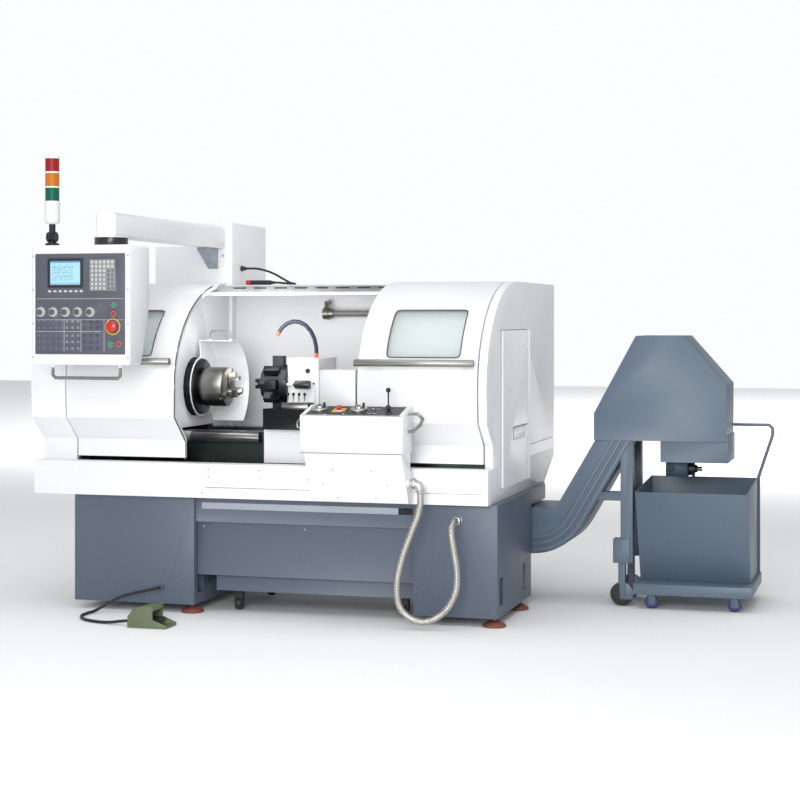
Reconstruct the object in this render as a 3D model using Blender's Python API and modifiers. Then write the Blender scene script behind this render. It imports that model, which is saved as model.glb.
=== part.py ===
"""CNC turning lathe with a chip conveyor, a chip cart and a foot switch.

Lengths are metres, +Z is up. The machine is measured from the left end of
the chip pan (X), the front face of the pan (Y) and the floor (Z). An empty
moves the whole assembly so that its base centre stands on the world origin.
"""

import math

import bpy
import bmesh
from mathutils import Matrix, Vector

# General
CLEARANCE = 0.0003
RUNNING_GAP = 0.003
OVERRUN = 0.03
SHEET = 0.004
ROUND_SIDES = 20
MERGE_DISTANCE = 0.00002
AXIS_MERGE = 0.0001
FINE_SIDES = 40
SMALL_SIDES = 12
WHEEL_SIDES = 16
WIRE_SIDES = 8
HEX_SIDES = 6
ARC_STEPS = 9

# Chip pan
PAN_LENGTH = 2.40
PAN_DEPTH = 1.642
PAN_FLAT_DEPTH = 1.368
PAN_BOTTOM = 0.59
PAN_BACK_EDGE = 0.714
PAN_TOP = 0.76
PAN_WALL = 0.008
PAN_SHELF_DEPTH = 0.115
PAN_RIB_Y = 1.14
PAN_RIB_WIDTH = 0.03
PAN_PANEL_LEFT = 0.94
PAN_PANEL_LENGTH = 0.566
PAN_PANEL_HEIGHT = 0.11
PAN_PANEL_DROP = 0.005
PAN_PANEL_PROUD = 0.004

# Base
BASE_CLEARANCE = 0.042
BASE_FRONT = 0.05
BASE_DECK = 0.03
LEFT_LEG_LEFT = 0.204
LEFT_LEG_LENGTH = 0.661
LEFT_LEG_DEPTH = 1.20
RIGHT_LEG_LEFT = 2.013
RIGHT_LEG_LENGTH = 0.422
RIGHT_LEG_DEPTH = 0.79
RIGHT_FLANGE_DEPTH = 1.17
RIGHT_FLANGE_DROP = 0.078
BEAM_SET_BACK = 0.03
BEAM_WIDTH = 0.06
BEAM_DROP = 0.128
REAR_LEG_X = 1.95
REAR_LEG_SIZE = 0.09
REAR_LEG_Y = 1.262
POCKET_WIDTH = 0.075
POCKET_HEIGHT = 0.13
POCKET_DEPTH = 0.05
POCKET_Z = 0.10
POCKET_FRONT_Y = 0.10
POCKET_BACK_Y = 0.63
FRONT_PANEL_HEIGHT = 0.27
FRONT_PANEL_SET_BACK = 0.05
FRONT_PANEL_THICKNESS = 0.012
FRONT_PANEL_HEM = 0.02

# Level feet
FOOT_PAD_RADIUS = 0.0575
FOOT_PAD_HEIGHT = 0.012
FOOT_NECK_RADIUS = 0.024
FOOT_STEM_RADIUS = 0.013
FOOT_INSET = 0.026
FOOT_FRONT_INSET = 0.044
FOOT_BACK_INSET = 0.21
FOOT_REAR_INSET = 0.10

# Coolant tank
TANK_LEFT_ROOM = 0.088
TANK_FRONT = 0.136
TANK_DEPTH = 0.66
TANK_BOTTOM = 0.11
TANK_HEIGHT = 0.22
TANK_WALL = 0.006
TANK_ROLLER_RADIUS = 0.032
TANK_ROLLER_WIDTH = 0.03
TANK_ROLLER_INSET = 0.09
TANK_FORK = 0.044

# Enclosure profile, the outline that doors and fixed covers share
COVER_LIP_Y = 0.105
COVER_LIP_TOP = 0.87
BULGE_Y = -0.025
BULGE_BOTTOM = 0.985
ARC_START_Z = 1.15
ARC_CENTRE_Y = 0.66
ARC_DEPTH = 0.695
ARC_RISE = 0.53

# Fixed covers
LEFT_STRIP_LENGTH = 0.19
RIGHT_STRIP_LENGTH = 0.04
LEFT_COVER_LENGTH = 0.64
RIGHT_COVER_LENGTH = 0.61
INNER_COVER_STEP = 0.034
COVER_WALL = 0.005
LINK_ROOM = 0.021
NOSE_HOLE_RADIUS = 0.158
BED_ROOM = 0.012

# Doors
DOOR_LENGTH = 0.595
DOOR_GAP = 0.008
DOOR_FLANGE = 0.022
DOOR_TOP_OVERLAP = 0.05
WINDOW_SIDE_LEFT = 0.09
WINDOW_SIDE_RIGHT = 0.138
WINDOW_BOTTOM = 1.302
WINDOW_HEIGHT = 0.228
PANE_THICKNESS = 0.004
PANE_LAP = 0.012
HANDLE_RADIUS = 0.0175
HANDLE_HEIGHT = 1.275
HANDLE_REACH = 0.075
HANDLE_POST_RADIUS = 0.011
HANDLE_POST_INSET = 0.05

# Door top rail
RAIL_WIDTH = 0.10
RAIL_HEIGHT = 0.05
RAIL_WALL = 0.006
RAIL_DROP = 0.014

# Side access door
ACCESS_FRONT = 0.28
ACCESS_WIDTH = 0.61
ACCESS_BOTTOM = 0.65
ACCESS_HEIGHT = 0.78
ACCESS_THICKNESS = 0.012
ACCESS_HEM = 0.03
ACCESS_HOLE_BOTTOM = 0.79
LATCH_INSET = 0.23
LATCH_WIDTH = 0.33
LATCH_HEIGHT = 0.066
LATCH_DEPTH = 0.007
LATCH_BOTTOM = 0.223
HINGE_RADIUS = 0.007

# Rear
SPLASH_ROOF_GAP = 0.01
CABINET_LEFT = 0.665
CABINET_WALL = 0.006
COLUMN_RIGHT = 0.66
COLUMN_FRONT = 1.10
COLUMN_CABINET_TOP = 1.90
COLUMN_TOP = 2.03
COLUMN_POST_LENGTH = 0.22
KNEE_REACH = 0.17
KNEE_DROP = 0.115
KNEE_WIDTH = 0.06

# Bed, spindle axis and headstock
AXIS_Y = 0.60
AXIS_Z = 1.125
BED_LEFT = 0.12
BED_RIGHT = 2.30
BED_FRONT = 0.40
BED_DEPTH = 0.46
BED_TOP = 0.90
WAY_WIDTH = 0.10
WAY_DROP = 0.04
WAY_SHOULDER = 0.18
BED_FOOT_INSET = 0.02
SCREW_COVER_RADIUS = 0.028
SCREW_COVER_LEFT = 0.66
SCREW_COVER_LENGTH = 0.44
SCREW_COVER_BRACKET = 0.03
HEADSTOCK_LEFT = 0.14
HEADSTOCK_LENGTH = 0.46
HEADSTOCK_FRONT = 0.38
HEADSTOCK_DEPTH = 0.44
HEADSTOCK_HEIGHT = 0.42
HEADSTOCK_BEVEL = 0.02
NOSE_RADIUS = 0.15
NOSE_FACE_X = 0.69
SPINDLE_RADIUS = 0.05
SPINDLE_BORE = 0.027
SPINDLE_TAIL = 0.05
SPINDLE_FLANGE_RADIUS = 0.085
SPINDLE_FLANGE = 0.012
CHUCK_RADIUS = 0.105
CHUCK_LENGTH = 0.13
CHUCK_CHAMFER = 0.006
JAW_WIDTH = 0.030
JAW_ROOT_DEPTH = 0.022
JAW_INNER = 0.036
JAW_LENGTH = 0.062
JAW_HEIGHT = 0.064
JAW_STEP = 0.02
JAW_TRAVEL = 0.012

# Chuck guard
GUARD_RADIUS = 0.25
GUARD_LENGTH = 0.18
GUARD_WALL = 0.004
GUARD_HUB = 0.008
GUARD_SET_BACK = 0.012
GUARD_START_ANGLE = -50.0
GUARD_END_ANGLE = 96.0
GUARD_STEPS = 14
GUARD_HANDLE_HEIGHT = 0.048
GUARD_HANDLE_LENGTH = 0.115
GUARD_HANDLE_RADIUS = 0.006

# Saddle, cross slide, turret
SADDLE_LEFT = 1.20
SADDLE_LENGTH = 0.38
SADDLE_HEIGHT = 0.03
SADDLE_BACK_OVERHANG = 0.05
SADDLE_APRON_FRONT = 0.16
SADDLE_APRON_LENGTH = 0.73
SADDLE_APRON_GAP = 0.012
SADDLE_APRON_TOP = 0.905
LINK_LEFT = 1.60
LINK_LENGTH = 0.33
LINK_THICKNESS = 0.012
SLIDE_FRONT = 0.115
SLIDE_DEPTH = 0.69
SLIDE_HEIGHT = 0.105
SLIDE_INSET = 0.01
TURRET_Y = 0.42
TURRET_Z = 1.15
TURRET_DISC_RADIUS = 0.10
TURRET_DISC_LENGTH = 0.042
TURRET_HEAD_RADIUS = 0.082
TURRET_HEAD_LENGTH = 0.11
CLAMP_LENGTH_SHARE = 0.8
TURRET_FACE_X = 1.257
BLOCK_REACH = 0.146
BLOCK_WIDTH = 0.045
BLOCK_LENGTH = 0.06
CLAMP_REACH = 0.118
CLAMP_WIDTH = 0.034
BORING_BLOCK_LENGTH = 0.045
BORING_BLOCK_HEIGHT = 0.052
BORING_NOTCH = 0.012
BLOCK_COUNT = 4
HOUSING_LENGTH = 0.165
HOUSING_FRONT = 0.36
HOUSING_DEPTH = 0.30
HOUSING_TOP = 1.285
MOTOR_BOX_LENGTH = 0.19
MOTOR_BOX_TOP = 1.225
HYDRAULIC_RADIUS = 0.022
HYDRAULIC_LENGTH = 0.08
HYDRAULIC_START = 0.046
HYDRAULIC_SHAFT_RADIUS = 0.007
LEVER_COUNT = 4
LEVER_PITCH = 0.03
LEVER_FIRST = 0.025
LEVER_FRONT = 0.07
LEVER_HEIGHT = 0.055
LEVER_RADIUS = 0.004
LEVER_BALL_RADIUS = 0.009
VALVE_HEIGHT = 0.024
VALVE_WIDTH = 0.05
NOZZLE_RADIUS = 0.011
NOZZLE_SPAN_SHARE = 1.42
NOZZLE_HEIGHT_SHARE = 0.95
NOZZLE_FOOT_SHARE = 4.0
NOZZLE_RISE_SHARE = 3.0
NOZZLE_ARC_SHARES = (0.04, 0.82)
NOZZLE_STEPS = 8

# Control desk, which hangs outside the doors and rides with the saddle
DESK_LEFT = 1.525
DESK_LENGTH = 0.512
DESK_FRONT = -0.22
DESK_BACK = -0.055
DESK_BOTTOM = 0.845
DESK_LIP = 1.025
DESK_BACK_TOP = 1.067
APRON_INSET = 0.016
APRON_FRONT = -0.205
APRON_FOOT_FRONT = -0.085
APRON_FOOT = 0.60
APRON_GAP = 0.012
LOOP_REACH = 0.075
LOOP_RADIUS = 0.0095
LOOP_BEND_SHARE = 2.5
LOOP_LOW = 0.95
LOOP_HIGH = 1.035
LOOP_Y = -0.13
RAIL_HANDLE_RADIUS = 0.005
RAIL_HANDLE_REACH = 0.045
DIAL_RADIUS = 0.042
DIAL_HEIGHT = 0.016
DIAL_HUB_RADIUS = 0.020
DIAL_HUB_HEIGHT = 0.008
DIAL_LEFT_X = 0.072
DIAL_RIGHT_X = 0.270
DIAL_SHARE = 0.52
STOP_X = 0.170
STOP_RADIUS = 0.020
STOP_HEIGHT = 0.020
STOP_NECK_RADIUS = 0.011
STOP_TRAVEL = 0.005
STOP_COLLAR = 0.004
STOP_ENTRY = 0.003
STOP_COLLAR_SHARE = 1.5
STOP_PROFILE_SHARES = ((0, 0.75), (0.5, 0.7), (1, 0.4), (1, 0.15))
JOG_X = 0.418
JOG_BOOT_RADIUS = 0.020
JOG_BOOT_HEIGHT = 0.016
JOG_BALL_SEAT = 0.012
JOG_BOOT_SHARE = 0.7
JOG_LENGTH = 0.080
JOG_STEM_RADIUS = 0.004
JOG_BALL_RADIUS = 0.0125
JOG_SEAT_STEPS = 3
ELBOW_RADIUS = 0.021
ELBOW_REACH = 0.055
ELBOW_TURN_SHARE = 0.15
ELBOW_Y = -0.10
ELBOW_Z = 0.700
ELBOW_DROP = 0.045

# Tailstock
TAIL_LEFT = 2.06
TAIL_LENGTH = 0.21
TAIL_DEPTH = 0.28
TAIL_HEAD_RADIUS = 0.075
TAIL_HEAD_STEPS = 6
TAIL_WAIST = 0.16
QUILL_RADIUS = 0.032
QUILL_REACH = 0.075
QUILL_TAIL = 0.16
CENTRE_LENGTH = 0.045

# Pendant
ARM_LEFT = 0.515
ARM_WIDTH = 0.105
ARM_FRONT = -0.36
ARM_BOTTOM = 1.887
ARM_HEIGHT = 0.12
ARM_BEVEL = 0.012
COLLAR_RADIUS = 0.0825
COLLAR_HEIGHT = 0.039
PENDANT_PIVOT_X = 0.565
PENDANT_PIVOT_Y = -0.28
PENDANT_LEFT = 0.195
PENDANT_WIDTH = 0.522
PENDANT_FRONT = -0.40
PENDANT_TOP_BACK = -0.164
PENDANT_LOW_BACK = -0.262
PENDANT_BOTTOM = 1.263
PENDANT_BEVEL = 0.008
PANEL_THICKNESS = 0.005
PANEL_SIDE = 0.022
PANEL_TOP_EDGE = 0.042
PANEL_BOTTOM_EDGE = 0.052
BEZEL_LEFT = 0.068
BEZEL_TOP = 0.022
BEZEL_WIDTH = 0.190
BEZEL_HEIGHT = 0.145
BEZEL_PROUD = 0.004
SCREEN_FRAME = 0.014
KEYPAD_LEFT = 0.300
KEYPAD_WIDTH = 0.140
KEYPAD_HEIGHT = 0.165
KNOB_COUNT = 5
KNOB_RADIUS = 0.015
KNOB_HEIGHT = 0.018
KNOB_DROP = 0.285
KNOB_FIRST = 0.030
KNOB_PITCH = 0.066
PANEL_STOP_RADIUS = 0.029
PANEL_STOP_HEIGHT = 0.028
PANEL_STOP_LEFT = 0.415
PANEL_STOP_DROP = 0.356
PANEL_STOP_COLLAR = 0.035
PANEL_COLLAR_PROUD = 0.001
PANEL_STOP_NECK_SHARE = 0.6
PANEL_STOP_SHARES = ((0, 1), (0.6, 0.92), (1, 0.7), (1, 0.45), (0.6, 0.28))
PENDANT_GRIP_RADIUS = 0.009
PENDANT_GRIP_CORNER_SHARE = 1.5
PENDANT_GRIP_DROP = 0.065
PENDANT_GRIP_LEFT = 0.095
PENDANT_GRIP_WIDTH = 0.36
PENDANT_GRIP_Y = -0.36

# Tower light
TOWER_X = 0.24
TOWER_Y = -0.27
TOWER_RADIUS = 0.0375
TOWER_CAP_SHARE = 0.8
TOWER_LENS_SHARE = 0.93
TOWER_FOOT_SHARE = 0.7
TOWER_KNUCKLE_SHARE = 1.4
TOWER_FOOT_RADIUS = 0.035
TOWER_FOOT_HEIGHT = 0.020
TOWER_NECK_RADIUS = 0.016
TOWER_BODY = 1.961
TOWER_TOP = 2.30
TOWER_GROOVE = 0.008
TOWER_LENS = 0.065
TOWER_LENS_COUNT = 3
TOWER_KNUCKLE_RADIUS = 0.026

# Chip conveyor
CONVEYOR_FRONT = 0.87
CONVEYOR_WIDTH = 0.37
TROUGH_TOP = 0.500
TROUGH_BOTTOM = 0.257
TROUGH_LEFT = 2.15
TROUGH_ANGLE = 60.0
TROUGH_DEPTH = 0.165
TROUGH_BEND_RADIUS = 0.30
TROUGH_INSIDE_HOOD = 0.07
TROUGH_RIB_PROUD = 0.010
TROUGH_RIB_START = 0.012
TROUGH_RIB_EDGE_SHARES = ((0.04, 0.17), (0.26, 0.37), (0.46, 0.56))
HOOD_LEFT = 2.761
HOOD_BOTTOM = 0.858
HOOD_LOW_SIDE = 0.997
HOOD_PEAK_LEFT = 2.979
HOOD_PEAK = 1.400
HOOD_PEAK_RIGHT = 3.225
HOOD_RIGHT = 3.443
HOOD_SHOULDER = 1.152
HOOD_WALL = 0.005
CHUTE_LEFT = 3.105
CHUTE_RIGHT = 3.450
CHUTE_BOTTOM = 0.75
CHUTE_LAP = 0.030
DRUM_X = 3.16
DRUM_Z = 1.06
DRUM_RADIUS = 0.085
DRUM_FLIGHT = 0.018
DRUM_FLIGHT_COUNT = 6
DRUM_SHAFT_RADIUS = 0.018
LEG_X = 2.90
LEG_WIDTH = 0.063
LEG_FOOT_X = 2.862
LEG_FOOT_WIDTH = 0.085
LEG_FOOT_BOTTOM = 0.224
LEG_FOOT_TOP = 0.348
CROSSBAR_BOTTOM = 0.545
CROSSBAR_HEIGHT = 0.045
LEG_WHEEL_RADIUS = 0.061
LEG_WHEEL_WIDTH = 0.035
LEG_FORK = 0.008

# Chip cart
CART_LEFT = 2.975
CART_LENGTH = 0.60
CART_FRONT = 0.80
CART_DEPTH = 0.62
CART_DECK_BOTTOM = 0.075
CART_DECK_HEIGHT = 0.055
CART_WALL = 0.005
BIN_LENGTH = 0.565
BIN_FRONT = 0.75
BIN_LEAN = 0.20
BIN_BACK_ROOM = 0.07
BIN_FRONT_TOP = 0.605
BIN_BACK_TOP = 0.64
CART_WHEEL_RADIUS = 0.035
CART_WHEEL_WIDTH = 0.024
CART_WHEEL_INSET = 0.09
CART_AXLE_RADIUS = 0.006
CART_FORK_THICKNESS = 0.004
PUSH_TOP = 0.92
PUSH_RADIUS = 0.009
PUSH_REACH = 0.060
PUSH_LENGTH = 0.42
PUSH_INSET = 0.014

# Foot switch
SWITCH_LEFT = 0.715
SWITCH_LENGTH = 0.20
SWITCH_FRONT = -0.42
SWITCH_DEPTH = 0.13
SWITCH_HEIGHT = 0.105
SWITCH_HOOD_LENGTH = 0.13
SWITCH_WALL = 0.006
SWITCH_BASE = 0.008
SWITCH_HOOD_SHARES = ((1.0, 0.4), (1.0, 1.0), (0.55, 1.0), (0.18, 0.82), (0, 0.5))
SWITCH_ROOM_SHARE = 0.78
PEDAL_LENGTH = 0.125
PEDAL_WIDTH = 0.085
PEDAL_THICKNESS = 0.010
PEDAL_HINGE_Z = 0.038
PEDAL_HINGE_X = 0.030
PEDAL_PIN_RADIUS = 0.005

# Cords
HOSE_RADIUS = 0.016
HOSE_FITTING_RADIUS = 0.023
HOSE_FITTING_LENGTH = 0.030
LEAD_RADIUS = 0.0075
LEAD_FITTING_RADIUS = 0.014
LEAD_FITTING_LENGTH = 0.026
HOSE_END_X = 2.235
HOSE_END_Z = 0.512
LEAD_START_X = 0.690
LEAD_START_Z = 0.128
LEAD_END_Y = -0.365
LEAD_END_Z = 0.022
HOSE_RUN = 0.024
ROUTE_STEPS = 2
LEAD_RUN = 0.011
HOSE_ROUTE = (
    (2.078, -0.101, 0.545),
    (2.050, -0.105, 0.470),
    (2.006, -0.110, 0.350),
    (1.979, -0.112, 0.225),
    (1.988, -0.112, 0.120),
    (2.036, -0.110, 0.062),
    (2.101, -0.106, 0.040),
    (2.170, -0.098, 0.062),
    (2.228, -0.092, 0.116),
    (2.263, -0.088, 0.192),
    (2.268, -0.084, 0.276),
    (2.256, -0.082, 0.360),
    (2.243, -0.079, 0.430),
    (2.236, -0.068, 0.482),
)
LEAD_ROUTE = (
    (0.678, -0.010, 0.126),
    (0.655, -0.015, 0.121),
    (0.620, -0.016, 0.112),
    (0.560, -0.016, 0.098),
    (0.500, -0.018, 0.080),
    (0.450, -0.026, 0.056),
    (0.408, -0.048, 0.030),
    (0.380, -0.085, 0.012),
    (0.364, -0.135, 0.0080),
    (0.366, -0.190, 0.0080),
    (0.386, -0.245, 0.0080),
    (0.424, -0.295, 0.0080),
    (0.480, -0.332, 0.0080),
    (0.545, -0.353, 0.0082),
    (0.605, -0.362, 0.0115),
    (0.648, -0.365, 0.0180),
)

# Values that follow from the driving dimensions
COVER_ROOF = ARC_START_Z + ARC_RISE
BASE_TOP = PAN_BOTTOM - CLEARANCE
LEG_FLOOR = BASE_CLEARANCE
LEFT_LEG_RIGHT = LEFT_LEG_LEFT + LEFT_LEG_LENGTH
RIGHT_LEG_RIGHT = RIGHT_LEG_LEFT + RIGHT_LEG_LENGTH
PAN_FLOOR = PAN_BOTTOM + PAN_WALL
ON_PAN = PAN_TOP + CLEARANCE
LINK_TOP = ON_PAN + LINK_THICKNESS
DOOR_BOTTOM = PAN_TOP + LINK_ROOM
LEFT_DOOR_LEFT = LEFT_STRIP_LENGTH + DOOR_GAP
RIGHT_DOOR_LEFT = PAN_LENGTH - RIGHT_STRIP_LENGTH - DOOR_GAP - DOOR_LENGTH
RAIL_TOP = COVER_ROOF - SHEET - RAIL_DROP
RAIL_Y = ARC_CENTRE_Y - RAIL_WIDTH
ON_BED = BED_TOP + CLEARANCE
SADDLE_TOP = ON_BED + SADDLE_HEIGHT
SLIDE_BOTTOM = SADDLE_TOP + CLEARANCE
SLIDE_TOP = SLIDE_BOTTOM + SLIDE_HEIGHT
ON_SLIDE = SLIDE_TOP + CLEARANCE
CHUCK_BACK = NOSE_FACE_X + RUNNING_GAP + SPINDLE_FLANGE + CLEARANCE
CHUCK_FACE = CHUCK_BACK + CHUCK_LENGTH
PENDANT_TOP = ARM_BOTTOM - COLLAR_HEIGHT - CLEARANCE
CART_RIGHT = CART_LEFT + CART_LENGTH
OVERALL_RIGHT = CART_RIGHT + PUSH_REACH + PUSH_RADIUS
OVERALL_FRONT = PENDANT_FRONT - CLEARANCE * 2 - PANEL_THICKNESS - PANEL_COLLAR_PROUD - PANEL_STOP_HEIGHT
FRAME_X = OVERALL_RIGHT / 2
FRAME_Y = (OVERALL_FRONT + PAN_DEPTH) / 2


def clear_scene():
    """Remove every object the file holds."""
    for item in list(bpy.data.objects):
        bpy.data.objects.remove(item, do_unlink=True)


def make_collection(name):
    collection = bpy.data.collections.new(name)
    bpy.context.scene.collection.children.link(collection)
    return collection


def paint(name, colour, metallic, roughness):
    """One Principled material."""
    material = bpy.data.materials.new(name)
    material.use_nodes = True
    shader = material.node_tree.nodes["Principled BSDF"]
    shader.inputs["Base Color"].default_value = (*colour, 1.0)
    shader.inputs["Metallic"].default_value = metallic
    shader.inputs["Roughness"].default_value = roughness
    return material


clear_scene()
PARTS = make_collection("cnc_turning_lathe")
CUTTERS = make_collection("cutters")

WHITE = paint("machine_white", (0.84, 0.85, 0.87), 0.0, 0.35)
BASE_GREY = paint("base_blue_grey", (0.14, 0.17, 0.22), 0.0, 0.45)
CONVEYOR_GREY = paint("conveyor_blue_grey", (0.20, 0.26, 0.33), 0.0, 0.45)
BLACK_OXIDE = paint("black_oxide_steel", (0.02, 0.025, 0.025), 0.8, 0.4)
BED_IRON = paint("bed_cast_iron", (0.06, 0.075, 0.07), 0.7, 0.45)
BRIGHT_STEEL = paint("bright_steel", (0.55, 0.55, 0.54), 1.0, 0.28)
BRUSHED = paint("brushed_handle", (0.36, 0.37, 0.34), 1.0, 0.35)
ALUMINIUM = paint("rail_aluminium", (0.50, 0.51, 0.52), 1.0, 0.4)
GLASS = paint("window_glass", (0.72, 0.80, 0.79), 0.0, 0.08)
PANEL_BLUE = paint("panel_slate", (0.09, 0.10, 0.17), 0.0, 0.5)
RED = paint("stop_red", (0.60, 0.02, 0.02), 0.0, 0.3)
BLACK = paint("black_plastic", (0.02, 0.02, 0.02), 0.0, 0.4)
PAD_BROWN = paint("pad_brown", (0.22, 0.07, 0.05), 0.0, 0.6)
OLIVE = paint("switch_olive", (0.22, 0.28, 0.17), 0.0, 0.5)
RUBBER = paint("wheel_rubber", (0.06, 0.07, 0.06), 0.0, 0.7)
NOZZLE_BLUE = paint("nozzle_plastic", (0.03, 0.04, 0.12), 0.0, 0.4)
TOWER = paint("tower_lenses", (0.70, 0.70, 0.70), 0.0, 0.3)
HOSE_STEEL = paint("hose_braid", (0.45, 0.42, 0.38), 0.9, 0.4)


def add_object(name, mesh, place=(0, 0, 0)):
    item = bpy.data.objects.new(name, mesh)
    PARTS.objects.link(item)
    item.location = place
    return item


def add_from_bmesh(name, shape, place=(0, 0, 0)):
    mesh = bpy.data.meshes.new(name)
    shape.to_mesh(mesh)
    shape.free()
    return add_object(name, mesh, place)


def box(name, low, high):
    """A box between two corners, with its origin in its middle."""
    low = Vector(low)
    high = Vector(high)
    size = high - low
    shape = bmesh.new()
    bmesh.ops.create_cube(shape, size=1)
    bmesh.ops.scale(shape, vec=size, verts=shape.verts)
    return add_from_bmesh(name, shape, (low + high) / 2)


def axis_turn(axis):
    """The turn that takes local Z onto the named axis."""
    if axis == "X":
        return Matrix(((0, 0, 1), (1, 0, 0), (0, 1, 0)))
    if axis == "Y":
        return Matrix(((1, 0, 0), (0, 0, -1), (0, 1, 0)))
    return Matrix.Identity(3)


def rod(name, radius, start, length, axis="Z", sides=SMALL_SIDES, tip_radius=None):
    """A cylinder or cone frustum from start along an axis, with a signed length."""
    tip = radius if tip_radius is None else tip_radius
    shape = bmesh.new()
    direction = 1 if length > 0 else -1
    first, second = (radius, tip) if direction > 0 else (tip, radius)
    bmesh.ops.create_cone(
        shape, cap_ends=True, cap_tris=False, segments=sides, radius1=first, radius2=second, depth=abs(
            length
        )
    )
    along = {"X": Vector((1, 0, 0)), "Y": Vector((0, 1, 0)), "Z": Vector((0, 0, 1))}[axis]
    turn = {
        "X": Matrix.Rotation(math.pi / 2, 3, "Y"),
        "Y": Matrix.Rotation(-math.pi / 2, 3, "X"),
        "Z": Matrix.Identity(3),
    }[axis]
    bmesh.ops.transform(shape, matrix=turn.to_4x4(), verts=shape.verts)
    item = add_from_bmesh(name, shape, Vector(start) + along * length / 2)
    smooth(item)
    return item


def ball(name, radius, place, sides=SMALL_SIDES):
    shape = bmesh.new()
    bmesh.ops.create_uvsphere(shape, u_segments=sides, v_segments=HEX_SIDES, radius=radius)
    item = add_from_bmesh(name, shape, place)
    smooth(item)
    return item


def smooth(item):
    item.data.shade_smooth()
    item.data.set_sharp_from_angle(angle=math.radians(35))


def turned(name, profile, place, axis="Z", sides=ROUND_SIDES, closed=False):
    """A turned solid: (radius, height) points run down the outer side, top first."""
    shape = bmesh.new()
    points = [shape.verts.new((radius, 0, height)) for radius, height in profile]
    for first, second in zip(points, points[1:]):
        shape.edges.new((first, second))
    if closed:
        shape.edges.new((points[-1], points[0]))
    item = add_from_bmesh(name, shape, place)
    screw = item.modifiers.new("turn", "SCREW")
    screw.steps = sides
    screw.render_steps = sides
    screw.use_merge_vertices = True
    screw.merge_threshold = AXIS_MERGE
    screw.use_smooth_shade = True
    screw.use_normal_calculate = False
    if axis == "X":
        item.rotation_euler = (0, math.pi / 2, 0)
    if axis == "Y":
        item.rotation_euler = (-math.pi / 2, 0, 0)
    return item


def to_mesh(item):
    """Swap a curve for its mesh, with its caps welded on."""
    bpy.context.view_layer.update()
    graph = bpy.context.evaluated_depsgraph_get()
    mesh = bpy.data.meshes.new_from_object(item.evaluated_get(graph))
    shape = bmesh.new()
    shape.from_mesh(mesh)
    bmesh.ops.remove_doubles(shape, verts=shape.verts, dist=MERGE_DISTANCE)
    bmesh.ops.recalc_face_normals(shape, faces=shape.faces)
    shape.to_mesh(mesh)
    shape.free()
    name = item.name
    matrix = item.matrix_world.copy()
    bpy.data.objects.remove(item, do_unlink=True)
    solid = add_object(name, mesh)
    solid.matrix_world = matrix
    return solid


def slab(name, outline, low, high, axis):
    """An outline drawn across an axis and extruded between two places on it."""
    curve = bpy.data.curves.new(name, "CURVE")
    curve.dimensions = "2D"
    curve.fill_mode = "BOTH"
    curve.extrude = (high - low) / 2
    spline = curve.splines.new("POLY")
    spline.points.add(len(outline) - 1)
    for point, (across, up) in zip(spline.points, outline):
        point.co = (across, up, 0, 1)
    spline.use_cyclic_u = True
    item = add_object(name, curve)
    middle = (low + high) / 2
    shift = {"X": (middle, 0, 0), "Y": (0, middle, 0), "Z": (0, 0, middle)}[axis]
    item.matrix_world = Matrix.Translation(shift) @ axis_turn(axis).to_4x4()
    return to_mesh(item)


def bent_rod(name, points, radius, resolution=1):
    """A wire, tube or handle along the given points, as a mesh."""
    curve = bpy.data.curves.new(name, "CURVE")
    curve.dimensions = "3D"
    curve.bevel_depth = radius
    curve.bevel_resolution = resolution
    curve.use_fill_caps = True
    spline = curve.splines.new("POLY")
    spline.points.add(len(points) - 1)
    for point, place in zip(spline.points, points):
        point.co = (*place, 1)
    return to_mesh(add_object(name, curve))


def operand_group(item, label, others):
    group = bpy.data.collections.new(item.name + "_" + label)
    CUTTERS.children.link(group)
    for other in others:
        PARTS.objects.unlink(other)
        group.objects.link(other)
        other.name = item.name + "_" + label
        other.parent = FRAME
        other.hide_render = True
        other.display_type = "WIRE"
    return group


def join(item, others):
    """Boolean union with every other shape."""
    step = item.modifiers.new("join", "BOOLEAN")
    step.operation = "UNION"
    step.solver = "EXACT"
    step.operand_type = "COLLECTION"
    step.collection = operand_group(item, "joined", others)
    return item


def cut(item, others):
    """Boolean difference with every other shape."""
    step = item.modifiers.new("cut", "BOOLEAN")
    step.operation = "DIFFERENCE"
    step.solver = "EXACT"
    step.operand_type = "COLLECTION"
    step.collection = operand_group(item, "cut", others)
    return item


def soften(item, width, segments=1):
    bevel = item.modifiers.new("edges", "BEVEL")
    bevel.width = width
    bevel.segments = segments
    bevel.limit_method = "ANGLE"
    return item


def pivot(name, place, carrier=None):
    """An empty on a joint's axis, carried by the frame or by another pivot."""
    empty = bpy.data.objects.new(name, None)
    PARTS.objects.link(empty)
    empty["machine_place"] = Vector(place)
    carrier = carrier or FRAME
    empty.parent = carrier
    empty.location = Vector(place) - Vector(carrier["machine_place"])
    return empty


def fit(item, name, material, carrier=None):
    """Name and paint a finished piece and hang it on its carrier."""
    item.name = name
    item.data.name = name
    item.data.materials.clear()
    item.data.materials.append(material)
    carrier = carrier or FRAME
    item.parent = carrier
    item.location = item.location - Vector(carrier["machine_place"])
    return item


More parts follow.
